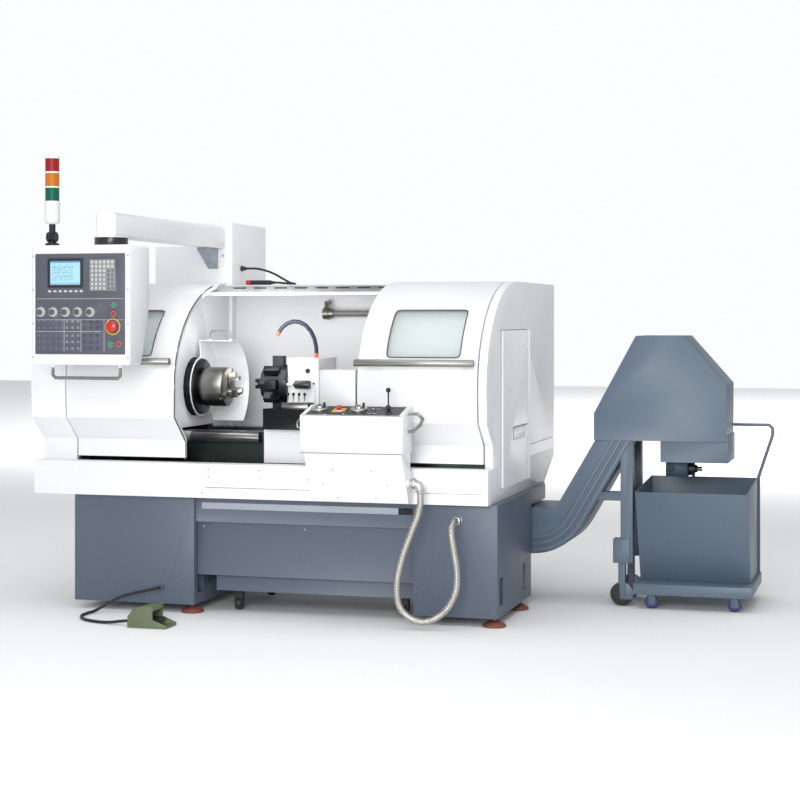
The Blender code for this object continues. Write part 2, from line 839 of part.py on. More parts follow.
def offset_path(points, distance):
    """A polyline moved sideways to its right by a distance, with mitred corners."""
    lines = []
    for first, second in zip(points, points[1:]):
        along = (Vector(second) - Vector(first)).normalized()
        side = Vector((along.y, -along.x))
        lines.append((Vector(first) + side * distance, along))
    moved = [lines[0][0]]
    for (start_a, along_a), (start_b, along_b) in zip(lines, lines[1:]):
        cross = along_a.x * along_b.y - along_a.y * along_b.x
        gap = start_b - start_a
        reach = (gap.x * along_b.y - gap.y * along_b.x) / cross
        moved.append(start_a + along_a * reach)
    last = Vector(points[-1])
    before = Vector(points[-2])
    along = (last - before).normalized()
    moved.append(last + Vector((along.y, -along.x)) * distance)
    return [tuple(point) for point in moved]


def arc_points():
    points = []
    for step in range(ARC_STEPS + 1):
        angle = math.pi / 2 * step / ARC_STEPS
        across = ARC_CENTRE_Y - ARC_DEPTH * math.cos(angle)
        points.append((across, ARC_START_Z + ARC_RISE * math.sin(angle)))
    return points


def cover_path(bottom, back):
    """The outer line of doors and covers in (Y, Z), from its lower lip up to the roof."""
    start = [(COVER_LIP_Y, bottom), (COVER_LIP_Y, COVER_LIP_TOP), (BULGE_Y, BULGE_BOTTOM)]
    return start + arc_points() + [(back, COVER_ROOF)]


def skin_outline(path, outer, inner):
    """A closed band between two offsets of a path."""
    first = offset_path(path, outer) if outer else list(path)
    second = offset_path(path, inner)
    return first + second[::-1]


def skin_depth(height):
    """Where the faceted front of a door lies at a height."""
    points = arc_points()
    for (near, low), (far, high) in zip(points, points[1:]):
        if low <= height <= high:
            return near + (far - near) * (height - low) / (high - low)
    return points[0][0]


FRAME = bpy.data.objects.new("lathe_frame", None)
PARTS.objects.link(FRAME)
FRAME["machine_place"] = Vector((0, 0, 0))
FRAME.location = (-FRAME_X, -FRAME_Y, 0)


def make_base():
    back = BASE_FRONT + LEFT_LEG_DEPTH
    left = box("base", (LEFT_LEG_LEFT, BASE_FRONT, LEG_FLOOR), (LEFT_LEG_RIGHT, back, BASE_TOP))
    right = box(
        "right", (RIGHT_LEG_LEFT, BASE_FRONT, LEG_FLOOR), (
            RIGHT_LEG_RIGHT,
            BASE_FRONT + RIGHT_LEG_DEPTH,
            BASE_TOP,
        )
    )
    flange = box(
        "flange",
        (RIGHT_LEG_LEFT, BASE_FRONT, BASE_TOP - RIGHT_FLANGE_DROP),
        (RIGHT_LEG_RIGHT, BASE_FRONT + RIGHT_FLANGE_DEPTH, BASE_TOP),
    )
    deck_back = REAR_LEG_Y + REAR_LEG_SIZE
    deck = box("deck", (LEFT_LEG_LEFT, BASE_FRONT + BEAM_SET_BACK, BASE_TOP - BASE_DECK),
               (RIGHT_LEG_RIGHT - OVERRUN, deck_back, BASE_TOP))
    beam = box(
        "beam",
        (LEFT_LEG_RIGHT - OVERRUN, BASE_FRONT + BEAM_SET_BACK, BASE_TOP - BEAM_DROP),
        (RIGHT_LEG_LEFT + OVERRUN, BASE_FRONT + BEAM_SET_BACK + BEAM_WIDTH, BASE_TOP),
    )
    rear = box(
        "rear",
        (REAR_LEG_X, REAR_LEG_Y, LEG_FLOOR),
        (REAR_LEG_X + REAR_LEG_SIZE, deck_back, BASE_TOP),
    )
    middle = (REAR_LEG_X + REAR_LEG_SIZE / 2, REAR_LEG_Y + REAR_LEG_SIZE / 2, 0)
    rear_pad = turned("rear_pad", foot_profile(LEG_FLOOR + FOOT_PAD_HEIGHT / 2), middle, sides=SMALL_SIDES)
    hose_fitting = rod(
        "hose_fitting", HOSE_FITTING_RADIUS, (HOSE_END_X, BASE_FRONT + SHEET, HOSE_END_Z),
        -HOSE_FITTING_LENGTH - SHEET, "Y", HEX_SIDES,
    )
    lead_fitting = rod(
        "lead_fitting", LEAD_FITTING_RADIUS, (LEAD_START_X, BASE_FRONT + SHEET, LEAD_START_Z),
        -LEAD_FITTING_LENGTH - SHEET, "Y", HEX_SIDES,
    )
    join(left, [right, flange, deck, beam, rear, rear_pad, hose_fitting, lead_fitting])
    pockets = []
    for start in (POCKET_FRONT_Y, POCKET_BACK_Y):
        low = (RIGHT_LEG_RIGHT - POCKET_DEPTH, start, POCKET_Z)
        high = (RIGHT_LEG_RIGHT + OVERRUN, start + POCKET_WIDTH, POCKET_Z + POCKET_HEIGHT)
        pockets.append(box("pocket", low, high))
    low = (LEFT_LEG_RIGHT - POCKET_DEPTH, POCKET_FRONT_Y, POCKET_Z)
    high = (LEFT_LEG_RIGHT + OVERRUN, POCKET_FRONT_Y + POCKET_WIDTH, POCKET_Z + POCKET_HEIGHT)
    pockets.append(box("pocket", low, high))
    cut(left, pockets)
    fit(left, "base_frame", BASE_GREY)


def foot_profile(height):
    """Half section of a level foot that ends just under the base."""
    top = height - CLEARANCE
    return [
        (0, top),
        (FOOT_STEM_RADIUS, top),
        (FOOT_STEM_RADIUS, top - FOOT_PAD_HEIGHT),
        (FOOT_NECK_RADIUS, top - FOOT_PAD_HEIGHT),
        (FOOT_PAD_RADIUS, FOOT_PAD_HEIGHT),
        (FOOT_PAD_RADIUS, 0),
        (0, 0),
    ]


def make_feet():
    places = [
        (LEFT_LEG_LEFT + FOOT_REAR_INSET, BASE_FRONT + LEFT_LEG_DEPTH - FOOT_REAR_INSET),
        (LEFT_LEG_RIGHT - FOOT_INSET, BASE_FRONT + FOOT_FRONT_INSET),
        (RIGHT_LEG_RIGHT - FOOT_INSET, BASE_FRONT + FOOT_FRONT_INSET),
        (RIGHT_LEG_RIGHT - FOOT_INSET, BASE_FRONT + RIGHT_LEG_DEPTH - FOOT_BACK_INSET),
    ]
    for number, (across, back) in enumerate(places, 1):
        foot = turned("foot", foot_profile(LEG_FLOOR), (across, back, 0), sides=SMALL_SIDES)
        fit(foot, "level_foot_%d" % number, PAD_BROWN)


def make_front_panel():
    front = BASE_FRONT + FRONT_PANEL_SET_BACK
    top = BASE_TOP - BEAM_DROP - CLEARANCE
    low = (LEFT_LEG_RIGHT + CLEARANCE, front, top - FRONT_PANEL_HEIGHT)
    high = (RIGHT_LEG_LEFT - CLEARANCE, front + FRONT_PANEL_THICKNESS, top)
    panel = box("panel", low, high)
    hem_back = front + FRONT_PANEL_THICKNESS + FRONT_PANEL_HEM
    hem = box("hem", (low[0], front, low[2]), (high[0], hem_back, low[2] + FRONT_PANEL_THICKNESS))
    join(panel, [hem])
    fit(panel, "base_front_panel", BASE_GREY)


def make_tank():
    right = RIGHT_LEG_LEFT - CLEARANCE
    left = LEFT_LEG_RIGHT + TANK_LEFT_ROOM
    top = TANK_BOTTOM + TANK_HEIGHT
    tank = box("tank", (left, TANK_FRONT, TANK_BOTTOM), (right, TANK_FRONT + TANK_DEPTH, top))
    inner_low = (left + TANK_WALL, TANK_FRONT + TANK_WALL, TANK_BOTTOM + TANK_WALL)
    inner_high = (right - TANK_WALL, TANK_FRONT + TANK_DEPTH - TANK_WALL, top + OVERRUN)
    extras = []
    for across in (left + TANK_ROLLER_INSET, right - TANK_ROLLER_INSET):
        for back in (TANK_FRONT + TANK_ROLLER_INSET, TANK_FRONT + TANK_DEPTH - TANK_ROLLER_INSET):
            axle = TANK_ROLLER_RADIUS + RUNNING_GAP
            half = TANK_ROLLER_WIDTH / 2
            extras.append(
                rod("roller", TANK_ROLLER_RADIUS, (across - half, back, axle), TANK_ROLLER_WIDTH, "X")
            )
            fork_low = (across - TANK_FORK / 2, back - half, axle)
            fork_high = (across + TANK_FORK / 2, back + half, TANK_BOTTOM + TANK_WALL / 2)
            extras.append(box("fork", fork_low, fork_high))
    join(tank, extras)
    cut(tank, [box("inside", inner_low, inner_high)])
    fit(tank, "coolant_tank", BASE_GREY)


def make_pan():
    outline = [
        (0, PAN_BOTTOM),
        (PAN_FLAT_DEPTH, PAN_BOTTOM),
        (PAN_DEPTH, PAN_BACK_EDGE),
        (PAN_DEPTH, PAN_TOP),
        (0, PAN_TOP),
    ]
    pan = slab("pan", outline, 0, PAN_LENGTH, "X")
    left = PAN_WALL
    right = PAN_LENGTH - PAN_WALL
    front = box("front_bay", (left, PAN_WALL, PAN_FLOOR), (right, PAN_RIB_Y, PAN_TOP + OVERRUN))
    rib_back = PAN_RIB_Y + PAN_RIB_WIDTH
    rear_outline = [
        (rib_back, PAN_FLOOR),
        (PAN_FLAT_DEPTH, PAN_FLOOR),
        (PAN_DEPTH - PAN_WALL, PAN_BACK_EDGE + PAN_WALL),
        (PAN_DEPTH - PAN_WALL, PAN_TOP + OVERRUN),
        (rib_back, PAN_TOP + OVERRUN),
    ]
    rear = slab("rear_bay", rear_outline, left, right, "X")
    cut(pan, [front, rear])
    shelf = box(
        "shelf",
        (left / 2, PAN_WALL / 2, PAN_TOP - PAN_WALL),
        (right + left / 2, PAN_SHELF_DEPTH, PAN_TOP),
    )
    panel_top = PAN_TOP - PAN_PANEL_DROP
    panel = box(
        "panel",
        (PAN_PANEL_LEFT, -PAN_PANEL_PROUD, panel_top - PAN_PANEL_HEIGHT),
        (PAN_PANEL_LEFT + PAN_PANEL_LENGTH, PAN_WALL / 2, panel_top),
    )
    join(pan, [shelf, panel])
    fit(pan, "chip_pan", WHITE)


def make_cover(name, end, direction, strip, length, nose_hole):
    """A fixed end cover: an end plate, a full strip and a recessed cover the door slides over."""
    path = cover_path(ON_PAN, PAN_DEPTH)
    foot = [(PAN_DEPTH, ON_PAN)]

    def span(first, last):
        low, high = sorted((end + direction * first, end + direction * last))
        return low, high

    cover = slab(name, path + foot, *span(0, strip), "X")
    inner_path = offset_path(cover_path(DOOR_BOTTOM, COLUMN_FRONT - PAN_WALL), INNER_COVER_STEP)
    inner = slab(
        "inner",
        inner_path + [(inner_path[-1][0], DOOR_BOTTOM)],
        *span(strip - COVER_WALL, length),
        "X",
    )
    join(cover, [inner])
    room = offset_path(cover_path(ON_PAN - OVERRUN, PAN_DEPTH - COVER_WALL), COVER_WALL)
    strip_room = slab(
        "strip_room",
        room + [(room[-1][0], ON_PAN - OVERRUN)],
        *span(COVER_WALL, strip - COVER_WALL),
        "X",
    )
    inside = offset_path(cover_path(ON_PAN - OVERRUN, COLUMN_FRONT + OVERRUN), INNER_COVER_STEP + COVER_WALL)
    far = length - COVER_WALL if nose_hole else length + OVERRUN
    inside_outline = inside + [(inside[-1][0], ON_PAN - OVERRUN)]
    inner_room = slab("inner_room", inside_outline, *span(strip - COVER_WALL * 2, far), "X")
    low, high = span(strip - CLEARANCE, length + OVERRUN)
    rail_low = (low, RAIL_Y - CLEARANCE, RAIL_TOP - RAIL_HEIGHT - CLEARANCE)
    rail_slot = box("rail_slot", rail_low, (high, ARC_CENTRE_Y + CLEARANCE, RAIL_TOP + CLEARANCE))
    cutters = [strip_room, inner_room, rail_slot]
    if nose_hole:
        hole_start = (end + direction * (length - OVERRUN), AXIS_Y, AXIS_Z)
        cutters.append(
            rod("nose_hole", NOSE_HOLE_RADIUS, hole_start, direction * OVERRUN * 2, "X", ROUND_SIDES)
        )
        low, high = span(length - OVERRUN, length + OVERRUN)
        front = BED_FRONT - BED_ROOM - SCREW_COVER_RADIUS * 3
        hole_low = (low, front, ON_PAN - OVERRUN)
        hole_high = (high, BED_FRONT + BED_DEPTH + BED_ROOM, BED_TOP + BED_ROOM)
        cutters.append(box("bed_hole", hole_low, hole_high))
    else:
        low, high = span(-OVERRUN, COVER_WALL + OVERRUN / 2)
        access_low = (low, ACCESS_FRONT + ACCESS_HEM, ACCESS_HOLE_BOTTOM)
        access_high = (
            high,
            ACCESS_FRONT + ACCESS_WIDTH - ACCESS_HEM,
            ACCESS_BOTTOM + ACCESS_HEIGHT - ACCESS_HEM,
        )
        cutters.append(box("access_hole", access_low, access_high))
    cut(cover, cutters)
    fit(cover, name, WHITE)


def make_door(side, left):
    """A curved sliding door, its window pane and its bar handle."""
    carrier = pivot(side + "_door_slide", (left, ARC_CENTRE_Y, RAIL_TOP))
    right = left + DOOR_LENGTH
    path = cover_path(DOOR_BOTTOM, ARC_CENTRE_Y + DOOR_TOP_OVERLAP)
    door = slab("door", skin_outline(path, 0, DOOR_FLANGE), left, right, "X")
    inner = cover_path(DOOR_BOTTOM + SHEET, ARC_CENTRE_Y + DOOR_TOP_OVERLAP - SHEET)
    pocket = skin_outline(inner, SHEET, DOOR_FLANGE + OVERRUN)
    hollow = slab("hollow", pocket, left + SHEET, right - SHEET, "X")
    rail_low = (left - OVERRUN, RAIL_Y - DOOR_GAP, RAIL_TOP - RAIL_HEIGHT)
    rail_room = box("rail_room", rail_low, (right + OVERRUN, ARC_CENTRE_Y + OVERRUN, RAIL_TOP + CLEARANCE))
    roof_low = (left - OVERRUN, ARC_CENTRE_Y, RAIL_TOP - RAIL_HEIGHT)
    roof_back = ARC_CENTRE_Y + DOOR_TOP_OVERLAP + OVERRUN
    roof_room = box("roof_room", roof_low, (right + OVERRUN, roof_back, COVER_ROOF - SHEET))
    pane_left = left + WINDOW_SIDE_LEFT
    pane_right = right - WINDOW_SIDE_RIGHT if side == "left" else right - WINDOW_SIDE_LEFT
    if side == "right":
        pane_left = left + WINDOW_SIDE_RIGHT
    window_top = WINDOW_BOTTOM + WINDOW_HEIGHT
    opening = box(
        "opening", (pane_left, BULGE_Y - OVERRUN, WINDOW_BOTTOM), (pane_right, ARC_CENTRE_Y, window_top)
    )
    cut(door, [hollow, rail_room, roof_room, opening])
    fit(door, side + "_door", WHITE, carrier)
    pane_low = WINDOW_BOTTOM - WINDOW_HEIGHT
    pane_high = window_top + PANE_LAP * 3
    pane_path = [point for point in arc_points() if pane_low < point[1] < pane_high]
    gap = SHEET + CLEARANCE
    band = skin_outline(pane_path, gap, gap + PANE_THICKNESS)
    pane = slab("pane", band, pane_left - PANE_LAP, pane_right + PANE_LAP, "X")
    trims = [
        box(
            "under",
            (left, BULGE_Y - OVERRUN, ARC_START_Z - OVERRUN),
            (right, ARC_CENTRE_Y, WINDOW_BOTTOM - PANE_LAP),
        ),
        box("over", (left, BULGE_Y - OVERRUN, window_top + PANE_LAP), (right, ARC_CENTRE_Y, COVER_ROOF)),
    ]
    cut(pane, trims)
    fit(pane, side + "_window", GLASS, carrier)
    make_handle(side, left, right, carrier)


def make_handle(side, left, right, carrier):
    skin = skin_depth(HANDLE_HEIGHT - HANDLE_POST_RADIUS) - CLEARANCE
    centre = skin - HANDLE_REACH
    bar = rod("bar", HANDLE_RADIUS, (left, centre, HANDLE_HEIGHT), DOOR_LENGTH, "X")
    posts = []
    for across in (left + HANDLE_POST_INSET, right - HANDLE_POST_INSET):
        posts.append(rod("post", HANDLE_POST_RADIUS, (across, centre, HANDLE_HEIGHT), HANDLE_REACH, "Y"))
    join(bar, posts)
    fit(bar, side + "_handle", BRUSHED, carrier)


def make_rail():
    """The channel that carries the doors' top rollers, open underneath."""
    low = (LEFT_STRIP_LENGTH + CLEARANCE, RAIL_Y, RAIL_TOP - RAIL_HEIGHT)
    high = (PAN_LENGTH - RIGHT_STRIP_LENGTH - CLEARANCE, ARC_CENTRE_Y, RAIL_TOP)
    rail = box("rail", low, high)
    room_low = (low[0] - OVERRUN, low[1] + RAIL_WALL, low[2] - OVERRUN)
    room_high = (high[0] + OVERRUN, high[1] - RAIL_WALL, high[2] - RAIL_WALL)
    cut(rail, [box("channel", room_low, room_high)])
    fit(rail, "door_top_rail", ALUMINIUM)


def make_access_door():
    side = PAN_LENGTH + CLEARANCE
    hinge_y = ACCESS_FRONT + ACCESS_WIDTH
    carrier = pivot("access_hinge", (side + ACCESS_THICKNESS, hinge_y, ACCESS_BOTTOM))
    top = ACCESS_BOTTOM + ACCESS_HEIGHT
    panel = box("panel", (side, ACCESS_FRONT, ACCESS_BOTTOM), (side + ACCESS_THICKNESS, hinge_y, top))
    outer = side + ACCESS_THICKNESS
    latch_front = ACCESS_FRONT + LATCH_INSET
    latch_low = (outer - LATCH_DEPTH, latch_front, ACCESS_BOTTOM + LATCH_BOTTOM)
    latch_high = (outer + OVERRUN, latch_front + LATCH_WIDTH, ACCESS_BOTTOM + LATCH_BOTTOM + LATCH_HEIGHT)
    barrel = rod("barrel", HINGE_RADIUS, (outer, hinge_y, ACCESS_BOTTOM), ACCESS_HEIGHT)
    join(panel, [barrel])
    cut(panel, [box("latch", latch_low, latch_high)])
    fit(panel, "side_access_door", WHITE, carrier)


def make_rear():
    """The splash guard behind the work area and the electrical cabinet behind that."""
    right = PAN_LENGTH - RIGHT_STRIP_LENGTH - CLEARANCE
    back = PAN_RIB_Y + PAN_RIB_WIDTH / 2
    roof = COVER_ROOF - SPLASH_ROOF_GAP
    wall_left = COLUMN_RIGHT + CLEARANCE
    inner_left = PAN_LENGTH - RIGHT_COVER_LENGTH
    roof_front = ARC_CENTRE_Y + CLEARANCE
    wall = box("wall", (wall_left, back - SHEET, ON_PAN), (right, back, roof))
    top = box("top", (wall_left, roof_front, roof - SHEET), (inner_left - RUNNING_GAP, back, roof))
    lip = box(
        "lip",
        (wall_left, roof_front, roof - RAIL_HEIGHT),
        (inner_left - RUNNING_GAP, roof_front + SHEET, roof),
    )
    join(wall, [top, lip])
    fit(wall, "rear_splash_guard", WHITE)
    front = back + CLEARANCE
    cabinet_high = (right, PAN_DEPTH, COVER_ROOF)
    cabinet = box("cabinet", (CABINET_LEFT, front, ON_PAN), cabinet_high)
    room_low = (CABINET_LEFT + CABINET_WALL, front + CABINET_WALL, ON_PAN - OVERRUN)
    room_high = (right - CABINET_WALL, PAN_DEPTH - CABINET_WALL, COVER_ROOF - CABINET_WALL)
    cut(cabinet, [box("inside", room_low, room_high)])
    fit(cabinet, "electrical_cabinet", WHITE)


def make_column():
    """The rear left cabinet with the post that carries the pendant arm."""
    left = LEFT_STRIP_LENGTH + CLEARANCE
    cabinet = box("column", (left, COLUMN_FRONT, ON_PAN), (COLUMN_RIGHT, PAN_DEPTH, COLUMN_CABINET_TOP))
    post_low = (COLUMN_RIGHT - COLUMN_POST_LENGTH, COLUMN_FRONT, ON_PAN)
    post = box("post", post_low, (COLUMN_RIGHT, PAN_DEPTH, COLUMN_TOP))
    knee_top = ARM_BOTTOM - CLEARANCE
    knee = slab(
        "knee",
        [
            (COLUMN_FRONT + PAN_WALL, knee_top),
            (COLUMN_FRONT - KNEE_REACH, knee_top),
            (COLUMN_FRONT - KNEE_REACH, knee_top - PAN_WALL),
            (COLUMN_FRONT, knee_top - KNEE_DROP),
            (COLUMN_FRONT + PAN_WALL, knee_top - KNEE_DROP),
        ],
        ARM_LEFT,
        ARM_LEFT + KNEE_WIDTH,
        "X",
    )
    join(cabinet, [post, knee])
    wall = CABINET_WALL
    low = (left + wall, COLUMN_FRONT + wall, ON_PAN - OVERRUN)
    high = (COLUMN_RIGHT - wall, PAN_DEPTH - wall, COLUMN_CABINET_TOP - wall)
    post_room_high = (COLUMN_RIGHT - wall, PAN_DEPTH - wall, COLUMN_TOP - wall)
    post_room_low = (post_low[0] + wall, COLUMN_FRONT + wall, ON_PAN - OVERRUN)
    cut(cabinet, [box("inside", low, high), box("post_inside", post_room_low, post_room_high)])
    fit(cabinet, "pendant_column", WHITE)


def make_bed():
    back = BED_FRONT + BED_DEPTH
    floor = PAN_FLOOR + CLEARANCE
    shoulder = BED_TOP - WAY_SHOULDER
    valley = BED_TOP - WAY_DROP
    outline = [
        (BED_FRONT + BED_FOOT_INSET, floor),
        (back - BED_FOOT_INSET, floor),
        (back - BED_FOOT_INSET, shoulder - BED_FOOT_INSET),
        (back, shoulder),
        (back, BED_TOP),
        (back - WAY_WIDTH, BED_TOP),
        (back - WAY_WIDTH - BED_FOOT_INSET, valley),
        (BED_FRONT + WAY_WIDTH + BED_FOOT_INSET, valley),
        (BED_FRONT + WAY_WIDTH, BED_TOP),
        (BED_FRONT, BED_TOP),
        (BED_FRONT, shoulder),
        (BED_FRONT + BED_FOOT_INSET, shoulder - BED_FOOT_INSET),
    ]
    bed = slab("bed", outline, BED_LEFT, BED_RIGHT, "X")
    centre_y = BED_FRONT - SCREW_COVER_RADIUS - CLEARANCE
    centre_z = BED_TOP - SCREW_COVER_RADIUS
    extras = [
        rod(
            "screw_cover",
            SCREW_COVER_RADIUS,
            (SCREW_COVER_LEFT, centre_y, centre_z),
            SCREW_COVER_LENGTH,
            "X",
        ),
    ]
    last = SCREW_COVER_LEFT + SCREW_COVER_LENGTH - SCREW_COVER_BRACKET
    for across in (SCREW_COVER_LEFT, last):
        low = (across, centre_y, centre_z - SCREW_COVER_RADIUS)
        high = (across + SCREW_COVER_BRACKET, BED_FRONT + BED_FOOT_INSET, centre_z + SCREW_COVER_RADIUS / 2)
        extras.append(box("bracket", low, high))
    join(bed, extras)
    fit(bed, "bed", BED_IRON)


def make_headstock():
    right = HEADSTOCK_LEFT + HEADSTOCK_LENGTH
    low = (HEADSTOCK_LEFT, HEADSTOCK_FRONT, ON_BED)
    high = (right, HEADSTOCK_FRONT + HEADSTOCK_DEPTH, ON_BED + HEADSTOCK_HEIGHT)
    stock = soften(box("headstock", low, high), HEADSTOCK_BEVEL)
    nose = rod(
        "nose",
        NOSE_RADIUS,
        (right - OVERRUN, AXIS_Y, AXIS_Z),
        NOSE_FACE_X - right + OVERRUN,
        "X",
        ROUND_SIDES,
    )
    join(stock, [nose])
    start = (HEADSTOCK_LEFT - OVERRUN, AXIS_Y, AXIS_Z)
    reach = NOSE_FACE_X - HEADSTOCK_LEFT + OVERRUN * 2
    bearing = (SPINDLE_RADIUS + CLEARANCE) / math.cos(math.pi / ROUND_SIDES)
    cut(stock, [rod("bore", bearing, start, reach, "X", ROUND_SIDES)])
    fit(stock, "headstock", BLACK_OXIDE)


def make_spindle():
    carrier = pivot("spindle_axis", (NOSE_FACE_X, AXIS_Y, AXIS_Z))
    flange_back = NOSE_FACE_X + RUNNING_GAP
    flange_face = flange_back + SPINDLE_FLANGE
    tail = HEADSTOCK_LEFT - SPINDLE_TAIL
    profile = [
        (SPINDLE_BORE, flange_face),
        (SPINDLE_FLANGE_RADIUS, flange_face),
        (SPINDLE_FLANGE_RADIUS, flange_back),
        (SPINDLE_RADIUS, flange_back),
        (SPINDLE_RADIUS, tail),
        (SPINDLE_BORE, tail),
    ]
    spindle = turned("spindle", profile, (0, AXIS_Y, AXIS_Z), "X", closed=True)
    fit(spindle, "spindle", BRIGHT_STEEL, carrier)
    profile = [
        (SPINDLE_BORE, CHUCK_FACE),
        (CHUCK_RADIUS - CHUCK_CHAMFER, CHUCK_FACE),
        (CHUCK_RADIUS, CHUCK_FACE - CHUCK_CHAMFER),
        (CHUCK_RADIUS, CHUCK_BACK + CHUCK_CHAMFER),
        (CHUCK_RADIUS - CHUCK_CHAMFER, CHUCK_BACK),
        (SPINDLE_BORE, CHUCK_BACK),
    ]
    chuck = turned("chuck", profile, (0, AXIS_Y, AXIS_Z), "X", FINE_SIDES, closed=True)
    slots = []
    for number in range(3):
        half = JAW_WIDTH / 2 + CLEARANCE
        slot = box(
            "slot",
            (CHUCK_FACE - JAW_ROOT_DEPTH, -half, JAW_INNER - JAW_TRAVEL * 2),
            (CHUCK_FACE + OVERRUN, half, CHUCK_RADIUS + OVERRUN),
        )
        turn_about_axis(slot, number)
        slots.append(slot)
    cut(chuck, slots)
    fit(chuck, "chuck_body", BRIGHT_STEEL, carrier)
    root = CHUCK_FACE - JAW_ROOT_DEPTH + CLEARANCE
    face = CHUCK_FACE + CLEARANCE
    tip = CHUCK_FACE + JAW_HEIGHT
    step = JAW_HEIGHT / 3
    outer = JAW_INNER + JAW_LENGTH
    for number in range(3):
        outline = [
            (root, JAW_INNER),
            (tip, JAW_INNER),
            (tip, JAW_INNER + JAW_STEP),
            (tip - step, JAW_INNER + JAW_STEP),
            (tip - step, JAW_INNER + JAW_STEP * 2),
            (face + step, JAW_INNER + JAW_STEP * 2),
            (face + step, outer),
            (root, outer),
        ]
        jaw = slab("jaw", outline, -JAW_WIDTH / 2, JAW_WIDTH / 2, "Y")
        turn_about_axis(jaw, number)
        fit(jaw, "chuck_jaw_%d" % (number + 1), BRIGHT_STEEL, carrier)


def turn_about_axis(item, number):
    """Place a shape drawn along +Z at its third of the turn about the spindle axis."""
    turn = Matrix.Rotation(math.radians(360 / 3 * number), 4, "X")
    item.matrix_world = Matrix.Translation((0, AXIS_Y, AXIS_Z)) @ turn @ item.matrix_basis


def sector(outer, inner, first, last, steps):
    """A ring sector in (Y, Z) about the origin, angles in degrees from the rear upwards."""
    points = []
    for radius, order in ((outer, 1), (inner, -1)):
        for step in range(steps + 1)[::order]:
            angle = math.radians(first + (last - first) * step / steps)
            points.append((AXIS_Y + radius * math.cos(angle), AXIS_Z + radius * math.sin(angle)))
    return points


def make_guard():
    carrier = pivot("guard_axis", (NOSE_FACE_X, AXIS_Y, AXIS_Z))
    left = NOSE_FACE_X - GUARD_SET_BACK
    right = left + GUARD_LENGTH
    rim = sector(GUARD_RADIUS, GUARD_RADIUS - GUARD_WALL, GUARD_START_ANGLE, GUARD_END_ANGLE, GUARD_STEPS)
    shell = slab("guard", rim, left, right, "X")
    half_side = math.pi / ROUND_SIDES
    hub_inner = (NOSE_RADIUS + CLEARANCE) / math.cos(half_side)
    inner = hub_inner + GUARD_HUB / 2
    plate = slab(
        "plate", sector(
            GUARD_RADIUS - GUARD_WALL / 2,
            inner,
            GUARD_START_ANGLE,
            GUARD_END_ANGLE,
            GUARD_STEPS,
        ),
        left, left + GUARD_WALL, "X",
    )
    hub_face = left + GUARD_WALL
    hub_profile = [
        (hub_inner + GUARD_HUB, hub_face), (hub_inner + GUARD_HUB, left), (hub_inner, left), (
            hub_inner,
            hub_face,
        )
    ]
    hub = turned("hub", hub_profile, (0, AXIS_Y, AXIS_Z), "X", closed=True)
    half_step = Matrix.Rotation(half_side, 4, "X") @ Matrix.Rotation(math.pi / 2, 4, "Y")
    hub.matrix_basis = Matrix.Translation((0, AXIS_Y, AXIS_Z)) @ half_step
    middle = right - GUARD_HANDLE_LENGTH / 2 - GUARD_HANDLE_RADIUS * 2
    foot = AXIS_Z + GUARD_RADIUS - GUARD_WALL * 2
    top = AXIS_Z + GUARD_RADIUS + GUARD_HANDLE_HEIGHT
    half = GUARD_HANDLE_LENGTH / 2
    corner = GUARD_HANDLE_RADIUS * 2
    loop = bent_rod(
        "loop",
        [
            (middle - half, AXIS_Y, foot), (middle - half, AXIS_Y, top - corner), (
                middle - half + corner,
                AXIS_Y,
                top,
            ),
            (middle + half - corner, AXIS_Y, top), (middle + half, AXIS_Y, top - corner), (
                middle + half,
                AXIS_Y,
                foot,
            ),
        ],
        GUARD_HANDLE_RADIUS,
    )
    join(shell, [plate, hub, loop])
    fit(shell, "chuck_guard", WHITE, carrier)


def make_carriage():
    carrier = pivot("carriage_slide", (SADDLE_LEFT, AXIS_Y, BED_TOP))
    right = SADDLE_LEFT + SADDLE_LENGTH
    back = BED_FRONT + BED_DEPTH + SADDLE_BACK_OVERHANG
    front = BED_FRONT - SADDLE_APRON_GAP
    saddle = box("saddle", (SADDLE_LEFT, SADDLE_APRON_FRONT, ON_BED), (right, back, SADDLE_TOP))
    apron_right = SADDLE_LEFT + SADDLE_APRON_LENGTH
    apron = box("apron", (SADDLE_LEFT, SADDLE_APRON_FRONT, LINK_TOP - LINK_THICKNESS), (apron_right, front,
                                                                                         SADDLE_APRON_TOP))
    link = box("link", (LINK_LEFT, DESK_BACK + CLEARANCE, ON_PAN), (LINK_LEFT + LINK_LENGTH,
                                                                    SADDLE_APRON_FRONT + OVERRUN, LINK_TOP))
    keeper = box("keeper", (
        SADDLE_LEFT,
        BED_FRONT + BED_DEPTH + RUNNING_GAP,
        BED_TOP - SADDLE_BACK_OVERHANG,
    ),
                 (right, back, ON_BED + SADDLE_HEIGHT / 2))
    join(saddle, [apron, link, keeper])
    fit(saddle, "saddle", WHITE, carrier)
    make_desk(carrier)
    make_slide(carrier)


